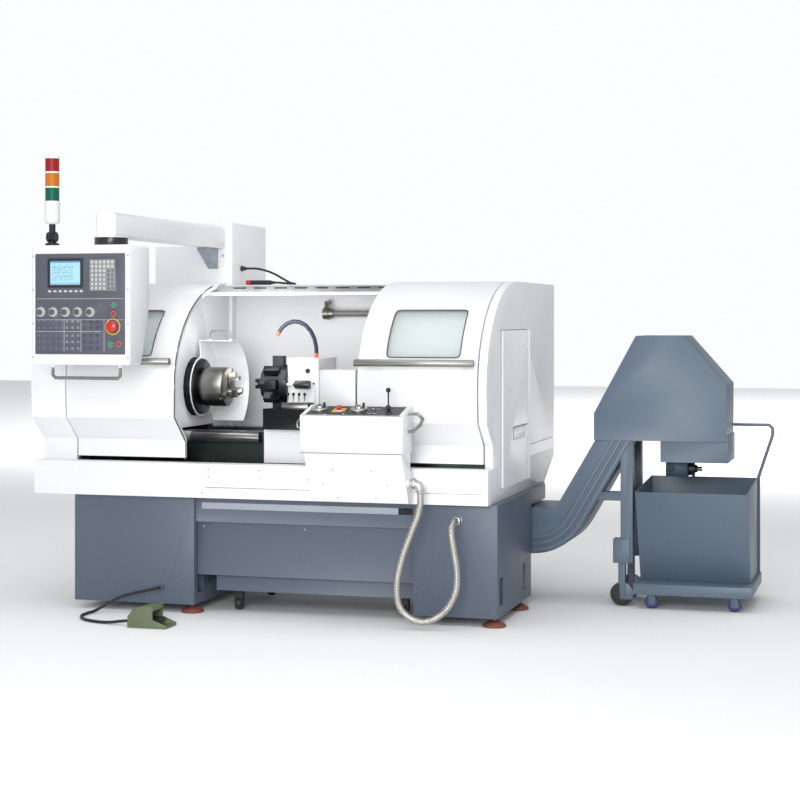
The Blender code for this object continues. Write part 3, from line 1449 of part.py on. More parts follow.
def make_desk(carrier):
    left = DESK_LEFT
    right = DESK_LEFT + DESK_LENGTH
    slope = (DESK_BACK_TOP - DESK_LIP) / (DESK_BACK - DESK_FRONT)
    box_outline = [
        (DESK_FRONT, DESK_BOTTOM),
        (DESK_BACK, DESK_BOTTOM),
        (DESK_BACK, DESK_BACK_TOP),
        (DESK_FRONT, DESK_LIP),
    ]
    desk = slab("desk", box_outline, left, right, "X")
    foot_back = -APRON_GAP
    apron_outline = [
        (APRON_FRONT, DESK_BOTTOM + SHEET),
        (APRON_FRONT, DESK_BOTTOM - APRON_INSET),
        (APRON_FOOT_FRONT, APRON_FOOT),
        (foot_back, APRON_FOOT),
        (foot_back, ON_PAN - PAN_WALL),
        (DESK_BACK, ON_PAN - PAN_WALL),
        (DESK_BACK, DESK_BOTTOM + SHEET),
    ]
    apron = slab("apron", apron_outline, left + APRON_INSET, right - APRON_INSET / 2, "X")
    bend = LOOP_RADIUS * LOOP_BEND_SHARE
    side = right - OVERRUN / 2
    reach = right + LOOP_REACH
    loop = bent_rod(
        "loop",
        [
            (side, LOOP_Y, LOOP_HIGH), (reach - bend, LOOP_Y, LOOP_HIGH), (reach, LOOP_Y, LOOP_HIGH - bend),
            (reach - bend / 2, LOOP_Y, (LOOP_HIGH + LOOP_LOW) / 2 - bend / 2), (
                right + bend,
                LOOP_Y,
                LOOP_LOW,
            ),
            (side, LOOP_Y, LOOP_LOW),
        ],
        LOOP_RADIUS,
    )
    left_side = left + OVERRUN / 2
    grip_reach = left - RAIL_HANDLE_REACH
    grip = bent_rod(
        "grip",
        [
            (left_side, LOOP_Y, LOOP_HIGH - bend / 2), (left - bend / 2, LOOP_Y, LOOP_HIGH - bend / 2),
            (grip_reach, LOOP_Y, LOOP_HIGH - bend * 2), (grip_reach, LOOP_Y, LOOP_LOW + bend / 2),
            (left - bend / 2, LOOP_Y, LOOP_LOW), (left_side, LOOP_Y, LOOP_LOW),
        ],
        RAIL_HANDLE_RADIUS,
    )
    elbow = bent_rod(
        "elbow",
        [
            (right - OVERRUN, ELBOW_Y, ELBOW_Z), (right + ELBOW_REACH / 2, ELBOW_Y, ELBOW_Z),
            (
                right + ELBOW_REACH * (1 - ELBOW_TURN_SHARE),
                ELBOW_Y,
                ELBOW_Z - ELBOW_REACH * ELBOW_TURN_SHARE,
            ),
            (right + ELBOW_REACH, ELBOW_Y, ELBOW_Z - ELBOW_REACH / 2),
            (right + ELBOW_REACH, ELBOW_Y, ELBOW_Z - ELBOW_DROP),
        ],
        ELBOW_RADIUS, 2,
    )
    tilt = math.atan(slope)
    deck_y = DESK_FRONT + (DESK_BACK - DESK_FRONT) * DIAL_SHARE
    deck_z = DESK_LIP + (deck_y - DESK_FRONT) * slope
    turn = Matrix.Rotation(tilt, 4, "X")
    up = turn @ Vector((0, 0, 1))
    seat = Vector((0, deck_y, deck_z)) + up * CLEARANCE

    def spot(across):
        return Vector((left + across, 0, 0)) + seat

    collar = turned("collar", disc_profile(STOP_NECK_RADIUS * STOP_COLLAR_SHARE, STOP_COLLAR, -STOP_RADIUS),
                    spot(STOP_X), sides=SMALL_SIDES)
    collar.rotation_euler = (tilt, 0, 0)
    join(desk, [apron, collar])
    low = STOP_COLLAR - STOP_ENTRY
    bore_floor = low - STOP_TRAVEL - CLEARANCE * 2
    bore = turned("bore", disc_profile(STOP_NECK_RADIUS + CLEARANCE, STOP_COLLAR + OVERRUN, bore_floor),
                  spot(STOP_X), sides=SMALL_SIDES)
    bore.rotation_euler = (tilt, 0, 0)
    cut(desk, [bore])
    join(desk, [loop, grip, elbow])
    fit(desk, "control_desk", WHITE, carrier)
    for side_name, across in (("left", DIAL_LEFT_X), ("right", DIAL_RIGHT_X)):
        axis = pivot("desk_wheel_%s_axis" % side_name, spot(across), carrier)
        profile = [
            (0, DIAL_HEIGHT + DIAL_HUB_HEIGHT),
            (DIAL_HUB_RADIUS, DIAL_HEIGHT + DIAL_HUB_HEIGHT),
            (DIAL_HUB_RADIUS, DIAL_HEIGHT),
            (DIAL_RADIUS - DIAL_HUB_HEIGHT / 2, DIAL_HEIGHT),
            (DIAL_RADIUS, DIAL_HEIGHT - DIAL_HUB_HEIGHT / 2),
            (DIAL_RADIUS, 0),
            (0, 0),
        ]
        dial = turned("dial", profile, spot(across))
        dial.rotation_euler = (tilt, 0, 0)
        fit(dial, "desk_wheel_" + side_name, BRIGHT_STEEL, axis)
    travel = STOP_COLLAR + STOP_TRAVEL + CLEARANCE
    axis = pivot("desk_stop_axis", spot(STOP_X), carrier)
    profile = [(STOP_RADIUS * out, travel + STOP_HEIGHT * high) for out, high in STOP_PROFILE_SHARES]
    profile += [(STOP_NECK_RADIUS, travel), (STOP_NECK_RADIUS, low), (0, low)]
    button = turned("button", profile, spot(STOP_X), sides=SMALL_SIDES)
    button.rotation_euler = (tilt, 0, 0)
    fit(button, "desk_stop_button", RED, axis)
    place = spot(JOG_X) + up * JOG_BALL_SEAT
    axis = pivot("jog_axis", place, carrier)
    profile = [
        (0, JOG_BOOT_HEIGHT), (JOG_STEM_RADIUS * 2, JOG_BOOT_HEIGHT),
        (JOG_BOOT_RADIUS * JOG_BOOT_SHARE, JOG_BOOT_HEIGHT / 2), (JOG_BOOT_RADIUS, 0),
    ]
    for step in range(JOG_SEAT_STEPS + 1):
        angle = math.pi / 2 * step / JOG_SEAT_STEPS
        profile.append((JOG_BALL_SEAT * math.cos(angle), -JOG_BALL_SEAT * math.sin(angle)))
    profile[-1] = (0, -JOG_BALL_SEAT)
    boot = turned("boot", profile, place, sides=SMALL_SIDES)
    foot = place + Vector((0, 0, JOG_BOOT_HEIGHT / 2))
    stem = rod("stem", JOG_STEM_RADIUS, foot, JOG_LENGTH, sides=WIRE_SIDES)
    knob = ball("knob", JOG_BALL_RADIUS, foot + Vector((0, 0, JOG_LENGTH)))
    join(boot, [stem, knob])
    fit(boot, "jog_lever", BLACK, axis)


def disc_profile(radius, high, low):
    return [(0, high), (radius, high), (radius, low), (0, low)]


def make_slide(carrier):
    cross = pivot("cross_slide_way", (SADDLE_LEFT, SLIDE_FRONT, SLIDE_BOTTOM), carrier)
    left = SADDLE_LEFT + SLIDE_INSET
    right = SADDLE_LEFT + SADDLE_LENGTH
    back = SLIDE_FRONT + SLIDE_DEPTH
    slide = box("slide", (left, SLIDE_FRONT, SLIDE_BOTTOM), (right, back, SLIDE_TOP))
    step_low = (left + OVERRUN, SLIDE_FRONT + OVERRUN, SLIDE_BOTTOM + SLIDE_HEIGHT / 2)
    notch_low = (left - OVERRUN, SLIDE_FRONT + OVERRUN * 2, step_low[2])
    notch_high = (left + OVERRUN / 2, back + OVERRUN, SLIDE_TOP + OVERRUN)
    notch = box("notch", notch_low, notch_high)
    cut(slide, [notch])
    fit(slide, "cross_slide", BLACK_OXIDE, cross)
    make_turret(cross)


def make_turret(cross):
    housing_left = TURRET_FACE_X + CLEARANCE
    housing_right = housing_left + HOUSING_LENGTH
    back = HOUSING_FRONT + HOUSING_DEPTH
    housing = box("housing", (housing_left, HOUSING_FRONT, ON_SLIDE), (housing_right, back, HOUSING_TOP))
    extras = []
    motor_right = housing_right + MOTOR_BOX_LENGTH
    motor_low = (housing_right - SHEET, HOUSING_FRONT + OVERRUN, ON_SLIDE)
    extras.append(box("motor", motor_low, (motor_right, back, MOTOR_BOX_TOP)))
    lever_y = HOUSING_FRONT - LEVER_FRONT
    valve_low = (housing_left, lever_y - VALVE_WIDTH / 2, ON_SLIDE)
    valve_high = (housing_left + LEVER_FIRST * 2 + LEVER_PITCH * (LEVER_COUNT - 1), HOUSING_FRONT + SHEET,
                  ON_SLIDE + VALVE_HEIGHT)
    extras.append(box("valve", valve_low, valve_high))
    for number in range(LEVER_COUNT):
        across = housing_left + LEVER_FIRST + LEVER_PITCH * number
        foot = (across, lever_y, ON_SLIDE + VALVE_HEIGHT / 2)
        extras.append(rod("lever", LEVER_RADIUS, foot, LEVER_HEIGHT, sides=HEX_SIDES))
        top = (across, lever_y, ON_SLIDE + VALVE_HEIGHT / 2 + LEVER_HEIGHT)
        extras.append(ball("ball", LEVER_BALL_RADIUS, top, WIRE_SIDES))
    cylinder_y = HOUSING_FRONT - HYDRAULIC_RADIUS + SHEET
    shaft_start = (housing_left, cylinder_y, TURRET_Z)
    extras.append(
        rod("shaft", HYDRAULIC_SHAFT_RADIUS, shaft_start, HYDRAULIC_START + OVERRUN, "X", WIRE_SIDES)
    )
    cylinder_start = (housing_left + HYDRAULIC_START, cylinder_y, TURRET_Z)
    extras.append(rod("cylinder", HYDRAULIC_RADIUS, cylinder_start, HYDRAULIC_LENGTH, "X"))
    join(housing, extras)
    fit(housing, "turret_housing", WHITE, cross)
    make_turret_head(cross)
    make_nozzle(cross, housing_right)


def make_turret_head(cross):
    axis = pivot("turret_axis", (TURRET_FACE_X, TURRET_Y, TURRET_Z), cross)
    disc_left = TURRET_FACE_X - TURRET_DISC_LENGTH
    disc = rod(
        "disc",
        TURRET_DISC_RADIUS,
        (TURRET_FACE_X, TURRET_Y, TURRET_Z),
        -TURRET_DISC_LENGTH,
        "X",
        WHEEL_SIDES,
    )
    start = (disc_left + SHEET, TURRET_Y, TURRET_Z)
    extras = [rod("star", TURRET_HEAD_RADIUS, start, -TURRET_HEAD_LENGTH, "X", BLOCK_COUNT * 2)]
    block_right = disc_left + SHEET
    for number in range(BLOCK_COUNT * 2):
        tall = number % 2 == 0
        reach = BLOCK_REACH if tall else CLAMP_REACH
        width = BLOCK_WIDTH if tall else CLAMP_WIDTH
        length = BLOCK_LENGTH if tall else TURRET_HEAD_LENGTH * CLAMP_LENGTH_SHARE
        block = box(
            "block", (block_right - length, -width / 2, TURRET_HEAD_RADIUS / 2), (
                block_right,
                width / 2,
                reach,
            )
        )
        turn = Matrix.Rotation(math.radians(180 / BLOCK_COUNT * number), 4, "X")
        block.matrix_world = Matrix.Translation((0, TURRET_Y, TURRET_Z)) @ turn @ block.matrix_basis
        extras.append(block)
    face = disc_left - TURRET_HEAD_LENGTH + SHEET
    half = BORING_BLOCK_HEIGHT / 2
    holder = box(
        "holder", (face - BORING_BLOCK_LENGTH, TURRET_Y - half, TURRET_Z - half),
        (face + SHEET, TURRET_Y + half, TURRET_Z + half),
    )
    extras.append(holder)
    join(disc, extras)
    notch = box(
        "notch",
        (face - BORING_BLOCK_LENGTH - OVERRUN, TURRET_Y - half - OVERRUN, TURRET_Z - BORING_NOTCH / 2),
        (face - BORING_BLOCK_LENGTH + BORING_NOTCH, TURRET_Y + half + OVERRUN, TURRET_Z + BORING_NOTCH / 2),
    )
    cut(disc, [notch])
    fit(disc, "turret_head", BLACK_OXIDE, axis)


def make_nozzle(cross, housing_right):
    """A jointed plastic hose that bows from the housing top towards the chuck."""
    foot_x = housing_right - NOZZLE_RADIUS * NOZZLE_FOOT_SHARE
    across = HOUSING_FRONT + HOUSING_DEPTH / 3
    base = HOUSING_TOP + CLEARANCE
    span = HOUSING_LENGTH * NOZZLE_SPAN_SHARE
    height = HOUSING_LENGTH * NOZZLE_HEIGHT_SHARE
    points = [(foot_x, across, base), (foot_x, across, base + NOZZLE_RADIUS * 2)]
    first, last = NOZZLE_ARC_SHARES
    for step in range(NOZZLE_STEPS + 1):
        angle = math.pi * (first + (last - first) * step / NOZZLE_STEPS)
        reach = foot_x - span / 2 + span / 2 * math.cos(angle)
        rise = NOZZLE_RADIUS * NOZZLE_RISE_SHARE + height * math.sin(angle)
        points.append((reach, across, base + rise))
    hose = bent_rod("nozzle", points, NOZZLE_RADIUS, 1)
    fit(hose, "coolant_nozzle", NOZZLE_BLUE, cross)


def make_tailstock():
    carrier = pivot("tailstock_slide", (TAIL_LEFT, AXIS_Y, BED_TOP))
    half = TAIL_DEPTH / 2
    outline = [
        (AXIS_Y - half, ON_BED),
        (AXIS_Y + half, ON_BED),
        (AXIS_Y + half, ON_BED + TAIL_HEAD_RADIUS / 2),
        (AXIS_Y + TAIL_WAIST / 2, AXIS_Z),
    ]
    for step in range(1, TAIL_HEAD_STEPS):
        angle = math.pi * step / TAIL_HEAD_STEPS
        outline.append(
            (AXIS_Y + TAIL_WAIST / 2 * math.cos(angle), AXIS_Z + TAIL_HEAD_RADIUS * math.sin(angle))
        )
    outline += [(AXIS_Y - TAIL_WAIST / 2, AXIS_Z), (AXIS_Y - half, ON_BED + TAIL_HEAD_RADIUS / 2)]
    body = slab("tail", outline, TAIL_LEFT, TAIL_LEFT + TAIL_LENGTH, "X")
    start = (TAIL_LEFT - OVERRUN, AXIS_Y, AXIS_Z)
    cut(body, [rod("bore", QUILL_RADIUS + CLEARANCE, start, TAIL_LENGTH + OVERRUN * 2, "X", ROUND_SIDES)])
    fit(body, "tailstock", BASE_GREY, carrier)
    slide = pivot("quill_slide", (TAIL_LEFT, AXIS_Y, AXIS_Z), carrier)
    tip = TAIL_LEFT - QUILL_REACH
    profile = [
        (0, TAIL_LEFT + QUILL_TAIL),
        (QUILL_RADIUS, TAIL_LEFT + QUILL_TAIL),
        (QUILL_RADIUS, tip + CENTRE_LENGTH),
        (QUILL_RADIUS / 2, tip + CENTRE_LENGTH),
        (0, tip),
    ]
    quill = turned("quill", profile, (0, AXIS_Y, AXIS_Z), "X")
    fit(quill, "tailstock_quill", BRIGHT_STEEL, slide)


def make_arm():
    low = (ARM_LEFT, ARM_FRONT, ARM_BOTTOM)
    high = (ARM_LEFT + ARM_WIDTH, COLUMN_FRONT - CLEARANCE, ARM_BOTTOM + ARM_HEIGHT)
    arm = soften(box("arm", low, high), ARM_BEVEL)
    place = (PENDANT_PIVOT_X, PENDANT_PIVOT_Y, ARM_BOTTOM + SHEET)
    collar = rod("collar", COLLAR_RADIUS, place, -COLLAR_HEIGHT - SHEET, "Z", ROUND_SIDES)
    join(arm, [collar])
    fit(arm, "pendant_arm", WHITE)


def make_pendant():
    carrier = pivot("pendant_swivel", (PENDANT_PIVOT_X, PENDANT_PIVOT_Y, PENDANT_TOP))
    right = PENDANT_LEFT + PENDANT_WIDTH
    outline = [
        (PENDANT_FRONT, PENDANT_BOTTOM),
        (PENDANT_LOW_BACK, PENDANT_BOTTOM),
        (PENDANT_TOP_BACK, PENDANT_TOP - (PENDANT_TOP - PENDANT_BOTTOM) / 2),
        (PENDANT_TOP_BACK, PENDANT_TOP),
        (PENDANT_FRONT, PENDANT_TOP),
    ]
    case = slab("pendant", outline, PENDANT_LEFT, right, "X")
    soften(case, PENDANT_BEVEL)
    grip_left = PENDANT_LEFT + PENDANT_GRIP_LEFT
    grip_right = grip_left + PENDANT_GRIP_WIDTH
    low = PENDANT_BOTTOM - PENDANT_GRIP_DROP
    corner = PENDANT_GRIP_RADIUS * PENDANT_GRIP_CORNER_SHARE
    inside = PENDANT_BOTTOM + OVERRUN / 2
    grip = bent_rod(
        "grip",
        [
            (grip_left, PENDANT_GRIP_Y, inside), (grip_left, PENDANT_GRIP_Y, low + corner),
            (grip_left + corner, PENDANT_GRIP_Y, low), (grip_right - corner, PENDANT_GRIP_Y, low),
            (grip_right, PENDANT_GRIP_Y, low + corner), (grip_right, PENDANT_GRIP_Y, inside),
        ],
        PENDANT_GRIP_RADIUS,
    )
    join(case, [grip])
    fit(case, "pendant_box", WHITE, carrier)
    make_panel(carrier)
    make_tower(carrier)


def make_panel(carrier):
    """The control panel with its screen bezel, keypad block and knobs."""
    left = PENDANT_LEFT + PANEL_SIDE
    right = PENDANT_LEFT + PENDANT_WIDTH - PANEL_SIDE
    top = PENDANT_TOP - PANEL_TOP_EDGE
    bottom = PENDANT_BOTTOM + PANEL_BOTTOM_EDGE
    back = PENDANT_FRONT - CLEARANCE
    front = back - PANEL_THICKNESS
    panel = box("panel", (left, front, bottom), (right, back, top))
    bezel_left = left + BEZEL_LEFT
    bezel_top = top - BEZEL_TOP
    bezel_low = (bezel_left, front - BEZEL_PROUD, bezel_top - BEZEL_HEIGHT)
    bezel = box("bezel", bezel_low, (bezel_left + BEZEL_WIDTH, back - SHEET / 2, bezel_top))
    pad_left = left + KEYPAD_LEFT
    pad_low = (pad_left, front - BEZEL_PROUD / 2, bezel_top - KEYPAD_HEIGHT)
    pad = box("pad", pad_low, (pad_left + KEYPAD_WIDTH, back - SHEET / 2, bezel_top))
    extras = [bezel, pad]
    for number in range(KNOB_COUNT):
        across = left + KNOB_FIRST + KNOB_PITCH * number
        start = (across, back - SHEET / 2, top - KNOB_DROP)
        extras.append(rod("knob", KNOB_RADIUS, start, -(KNOB_HEIGHT + SHEET / 2), "Y"))
    stop_x = left + PANEL_STOP_LEFT
    stop_z = top - PANEL_STOP_DROP
    neck = PANEL_STOP_RADIUS * PANEL_STOP_NECK_SHARE
    collar_back = (stop_x, back - SHEET / 2, stop_z)
    collar_front = front - PANEL_COLLAR_PROUD
    extras.append(
        rod("collar", PANEL_STOP_COLLAR, collar_back, collar_front - collar_back[1], "Y", ROUND_SIDES)
    )
    join(panel, extras)
    screen_low = (bezel_left + SCREEN_FRAME, bezel_low[1] - OVERRUN, bezel_low[2] + SCREEN_FRAME)
    screen_high = (
        bezel_left + BEZEL_WIDTH - SCREEN_FRAME,
        bezel_low[1] + BEZEL_PROUD / 2,
        bezel_top - SCREEN_FRAME,
    )
    bore = rod("bore", neck + CLEARANCE, (stop_x, back + OVERRUN, stop_z), -OVERRUN * 2, "Y", ROUND_SIDES)
    cut(panel, [box("screen", screen_low, screen_high), bore])
    fit(panel, "pendant_panel", PANEL_BLUE, carrier)
    seat = collar_front - CLEARANCE
    axis = pivot("pendant_stop_axis", (stop_x, seat, stop_z), carrier)
    profile = [(PANEL_STOP_RADIUS * out, PANEL_STOP_HEIGHT * high) for out, high in PANEL_STOP_SHARES]
    profile += [(neck, 0), (0, 0)]
    button = turned("button", profile, (stop_x, seat, stop_z))
    button.rotation_euler = (math.pi / 2, 0, 0)
    fit(button, "pendant_stop_button", RED, axis)


def make_tower(carrier):
    """The signal tower on its folding knuckle."""
    foot = PENDANT_TOP + CLEARANCE
    profile = [
        (0, TOWER_TOP),
        (TOWER_RADIUS * TOWER_CAP_SHARE, TOWER_TOP),
        (TOWER_RADIUS, TOWER_TOP - TOWER_GROOVE),
    ]
    top = TOWER_TOP - TOWER_GROOVE * 2
    for number in range(TOWER_LENS_COUNT):
        high = top - (TOWER_LENS + TOWER_GROOVE) * number
        profile += [
            (TOWER_RADIUS, high), (TOWER_RADIUS * TOWER_LENS_SHARE, high),
            (TOWER_RADIUS * TOWER_LENS_SHARE, high - TOWER_LENS), (TOWER_RADIUS, high - TOWER_LENS),
        ]
    profile += [
        (TOWER_RADIUS, TOWER_BODY + TOWER_GROOVE),
        (TOWER_RADIUS * TOWER_CAP_SHARE, TOWER_BODY),
        (TOWER_NECK_RADIUS, TOWER_BODY),
        (TOWER_NECK_RADIUS, foot + TOWER_FOOT_HEIGHT),
        (TOWER_FOOT_RADIUS, foot + TOWER_FOOT_HEIGHT * TOWER_FOOT_SHARE),
        (TOWER_FOOT_RADIUS, foot),
        (0, foot),
    ]
    tower = turned("tower", profile, (TOWER_X, TOWER_Y, 0), sides=WHEEL_SIDES)
    knuckle_z = foot + TOWER_FOOT_HEIGHT + TOWER_KNUCKLE_RADIUS
    start = (TOWER_X - TOWER_NECK_RADIUS * TOWER_KNUCKLE_SHARE, TOWER_Y, knuckle_z)
    knuckle = rod("knuckle", TOWER_KNUCKLE_RADIUS, start, TOWER_NECK_RADIUS * TOWER_KNUCKLE_SHARE * 2, "X")
    join(tower, [knuckle])
    fit(tower, "tower_light", TOWER, carrier)


def incline(point, height):
    """The place at a height on the inclined line through a point, in (X, Z)."""
    return (point[0] + (height - point[1]) / math.tan(math.radians(TROUGH_ANGLE)), height)


def trough_lines():
    """A point on the upper and on the lower inclined line of the trough."""
    angle = math.radians(TROUGH_ANGLE)
    upper = (HOOD_LEFT + HOOD_WALL + CLEARANCE, HOOD_BOTTOM)
    lower = (upper[0] + TROUGH_DEPTH * math.sin(angle), upper[1] - TROUGH_DEPTH * math.cos(angle))
    return upper, lower


def trough_line(left, lower, inset, top):
    """The underside of the trough moved inwards, from its flat run round the bend to a height."""
    angle = math.radians(TROUGH_ANGLE)
    bend_end = incline(lower, TROUGH_BOTTOM + TROUGH_BEND_RADIUS * (1 - math.cos(angle)))
    bend_start = bend_end[0] - TROUGH_BEND_RADIUS * math.sin(angle)
    radius = TROUGH_BEND_RADIUS - inset
    line = [(left, TROUGH_BOTTOM + inset)]
    for step in range(ARC_STEPS + 1):
        turn = angle * step / ARC_STEPS
        height = TROUGH_BOTTOM + TROUGH_BEND_RADIUS - radius * math.cos(turn)
        line.append((bend_start + radius * math.sin(turn), height))
    line.append(incline(line[-1], top))
    return line


def make_conveyor():
    back = CONVEYOR_FRONT + CONVEYOR_WIDTH
    upper, lower = trough_lines()
    top = HOOD_BOTTOM + TROUGH_INSIDE_HOOD
    outline = [(TROUGH_LEFT, TROUGH_TOP)] + trough_line(TROUGH_LEFT, lower, 0, top)
    outline += [incline(upper, top), incline(upper, TROUGH_TOP)]
    trough = slab("trough", outline, CONVEYOR_FRONT, back, "Y")
    ribs = []
    rib_left = TROUGH_LEFT + TROUGH_RIB_START
    rib_top = HOOD_BOTTOM - CLEARANCE
    for low_share, high_share in TROUGH_RIB_EDGE_SHARES:
        near = trough_line(rib_left, lower, TROUGH_DEPTH * low_share, rib_top)
        far = trough_line(rib_left, lower, TROUGH_DEPTH * high_share, rib_top)
        ribs.append(
            slab("rib", near + far[::-1], CONVEYOR_FRONT - TROUGH_RIB_PROUD, back + TROUGH_RIB_PROUD, "Y")
        )
    join(trough, ribs)
    fit(trough, "conveyor_trough", CONVEYOR_GREY)
    make_hood(lower)
    make_leg(lower)


def make_hood(lower):
    """The folded hood over the drum, open to the trough below and to the chute."""
    front = CONVEYOR_FRONT - CLEARANCE - HOOD_WALL
    back = CONVEYOR_FRONT + CONVEYOR_WIDTH + CLEARANCE + HOOD_WALL
    outline = [
        (HOOD_LEFT, HOOD_BOTTOM),
        (HOOD_RIGHT, HOOD_BOTTOM),
        (HOOD_RIGHT, HOOD_SHOULDER),
        (HOOD_PEAK_RIGHT, HOOD_PEAK),
        (HOOD_PEAK_LEFT, HOOD_PEAK),
        (HOOD_LEFT, HOOD_LOW_SIDE),
    ]
    hood = slab("hood", outline, front, back, "Y")
    chute_front = front + HOOD_WALL
    chute_back = back - HOOD_WALL
    chute = box(
        "chute",
        (CHUTE_LEFT, chute_front, CHUTE_BOTTOM),
        (CHUTE_RIGHT, chute_back, HOOD_BOTTOM + CHUTE_LAP),
    )
    join(hood, [chute])
    wall = HOOD_WALL
    room = [
        (HOOD_LEFT + wall, HOOD_BOTTOM + wall),
        (HOOD_RIGHT - wall, HOOD_BOTTOM + wall),
        (HOOD_RIGHT - wall, HOOD_SHOULDER - wall / 2),
        (HOOD_PEAK_RIGHT - wall / 2, HOOD_PEAK - wall),
        (HOOD_PEAK_LEFT + wall / 2, HOOD_PEAK - wall),
        (HOOD_LEFT + wall, HOOD_LOW_SIDE - wall / 2),
    ]
    inside = slab("inside", room, front + wall, back - wall, "Y")
    mouth_right = incline(lower, HOOD_BOTTOM + wall)[0] + CLEARANCE
    mouth_low = (HOOD_LEFT + wall, front + wall, HOOD_BOTTOM - OVERRUN)
    mouth = box("mouth", mouth_low, (mouth_right, back - wall, HOOD_BOTTOM + wall * 2))
    outlet_low = (CHUTE_LEFT + wall, chute_front + wall, CHUTE_BOTTOM - OVERRUN)
    outlet_high = (min(CHUTE_RIGHT, HOOD_RIGHT) - wall, chute_back - wall, HOOD_BOTTOM + wall * 2)
    outlet = box("outlet", outlet_low, outlet_high)
    cut(hood, [inside, mouth, outlet])
    fit(hood, "conveyor_hood", CONVEYOR_GREY)
    make_drum(front + wall + CLEARANCE, back - wall - CLEARANCE)


def make_drum(front, back):
    """The head drum with its pulling flights, on a shaft between the hood's sides."""
    axis = pivot("drum_axis", (DRUM_X, front, DRUM_Z))
    shaft = rod("shaft", DRUM_SHAFT_RADIUS, (DRUM_X, front, DRUM_Z), back - front, "Y")
    face = front + DRUM_FLIGHT
    body_length = back - front - DRUM_FLIGHT * 2
    extras = [rod("drum", DRUM_RADIUS, (DRUM_X, face, DRUM_Z), body_length, "Y", ROUND_SIDES)]
    for number in range(DRUM_FLIGHT_COUNT):
        half = DRUM_FLIGHT / 2
        flight = box(
            "flight", (-half, face + half, DRUM_RADIUS / 2), (
                half,
                face + body_length - half,
                DRUM_RADIUS + DRUM_FLIGHT,
            )
        )
        turn = Matrix.Rotation(math.radians(360 / DRUM_FLIGHT_COUNT * number), 4, "Y")
        flight.matrix_world = Matrix.Translation((DRUM_X, 0, DRUM_Z)) @ turn @ flight.matrix_basis
        extras.append(flight)
    join(shaft, extras)
    fit(shaft, "conveyor_drum", BLACK_OXIDE, axis)


def make_leg(lower):
    """Two legs under the hood, tied across and to the trough, on small wheels."""
    top = HOOD_BOTTOM - CLEARANCE
    right = LEG_X + LEG_WIDTH
    back = CONVEYOR_FRONT + CONVEYOR_WIDTH
    leg = box("leg", (LEG_X, CONVEYOR_FRONT, LEG_FOOT_BOTTOM), (right, CONVEYOR_FRONT + LEG_WIDTH, top))
    extras = [box("rear_leg", (LEG_X, back - LEG_WIDTH, LEG_FOOT_BOTTOM), (right, back, top))]
    wheel_z = LEG_WHEEL_RADIUS
    for start in (CONVEYOR_FRONT, back - LEG_WIDTH):
        low = (LEG_FOOT_X, start - LEG_FORK, LEG_FOOT_BOTTOM)
        high = (LEG_FOOT_X + LEG_FOOT_WIDTH, start + LEG_WIDTH + LEG_FORK, LEG_FOOT_TOP)
        extras.append(box("foot", low, high))
        middle_x = LEG_FOOT_X + LEG_FOOT_WIDTH / 2
        half = LEG_WHEEL_WIDTH / 2
        middle_y = start + LEG_WIDTH / 2
        fork_low = (middle_x - half, middle_y - half - LEG_FORK, wheel_z)
        fork_high = (middle_x + half, middle_y + half + LEG_FORK, LEG_FOOT_BOTTOM + LEG_FORK)
        extras.append(box("fork", fork_low, fork_high))
        wheel_start = (middle_x, middle_y - half, wheel_z + CLEARANCE)
        extras.append(rod("wheel", LEG_WHEEL_RADIUS, wheel_start, LEG_WHEEL_WIDTH, "Y", ROUND_SIDES))
    bar_top = CROSSBAR_BOTTOM + CROSSBAR_HEIGHT
    extras.append(
        box("cross", (LEG_X, CONVEYOR_FRONT + SHEET, CROSSBAR_BOTTOM), (right, back - SHEET, bar_top))
    )
    tie_low = (HOOD_LEFT, CONVEYOR_FRONT + SHEET, CROSSBAR_BOTTOM)
    tie_high = (LEG_X + SHEET, CONVEYOR_FRONT + LEG_WIDTH - SHEET, bar_top)
    extras.append(box("tie", tie_low, tie_high))
    join(leg, extras)
    clear = (lower[0] + CLEARANCE * 2, lower[1])
    room = [
        incline(clear, TROUGH_BOTTOM),
        incline(clear, HOOD_BOTTOM + OVERRUN),
        (TROUGH_LEFT, HOOD_BOTTOM + OVERRUN),
        (TROUGH_LEFT, TROUGH_BOTTOM),
    ]
    cut(leg, [slab("trough_room", room, CONVEYOR_FRONT - OVERRUN, back + OVERRUN, "Y")])
    fit(leg, "conveyor_leg", CONVEYOR_GREY)


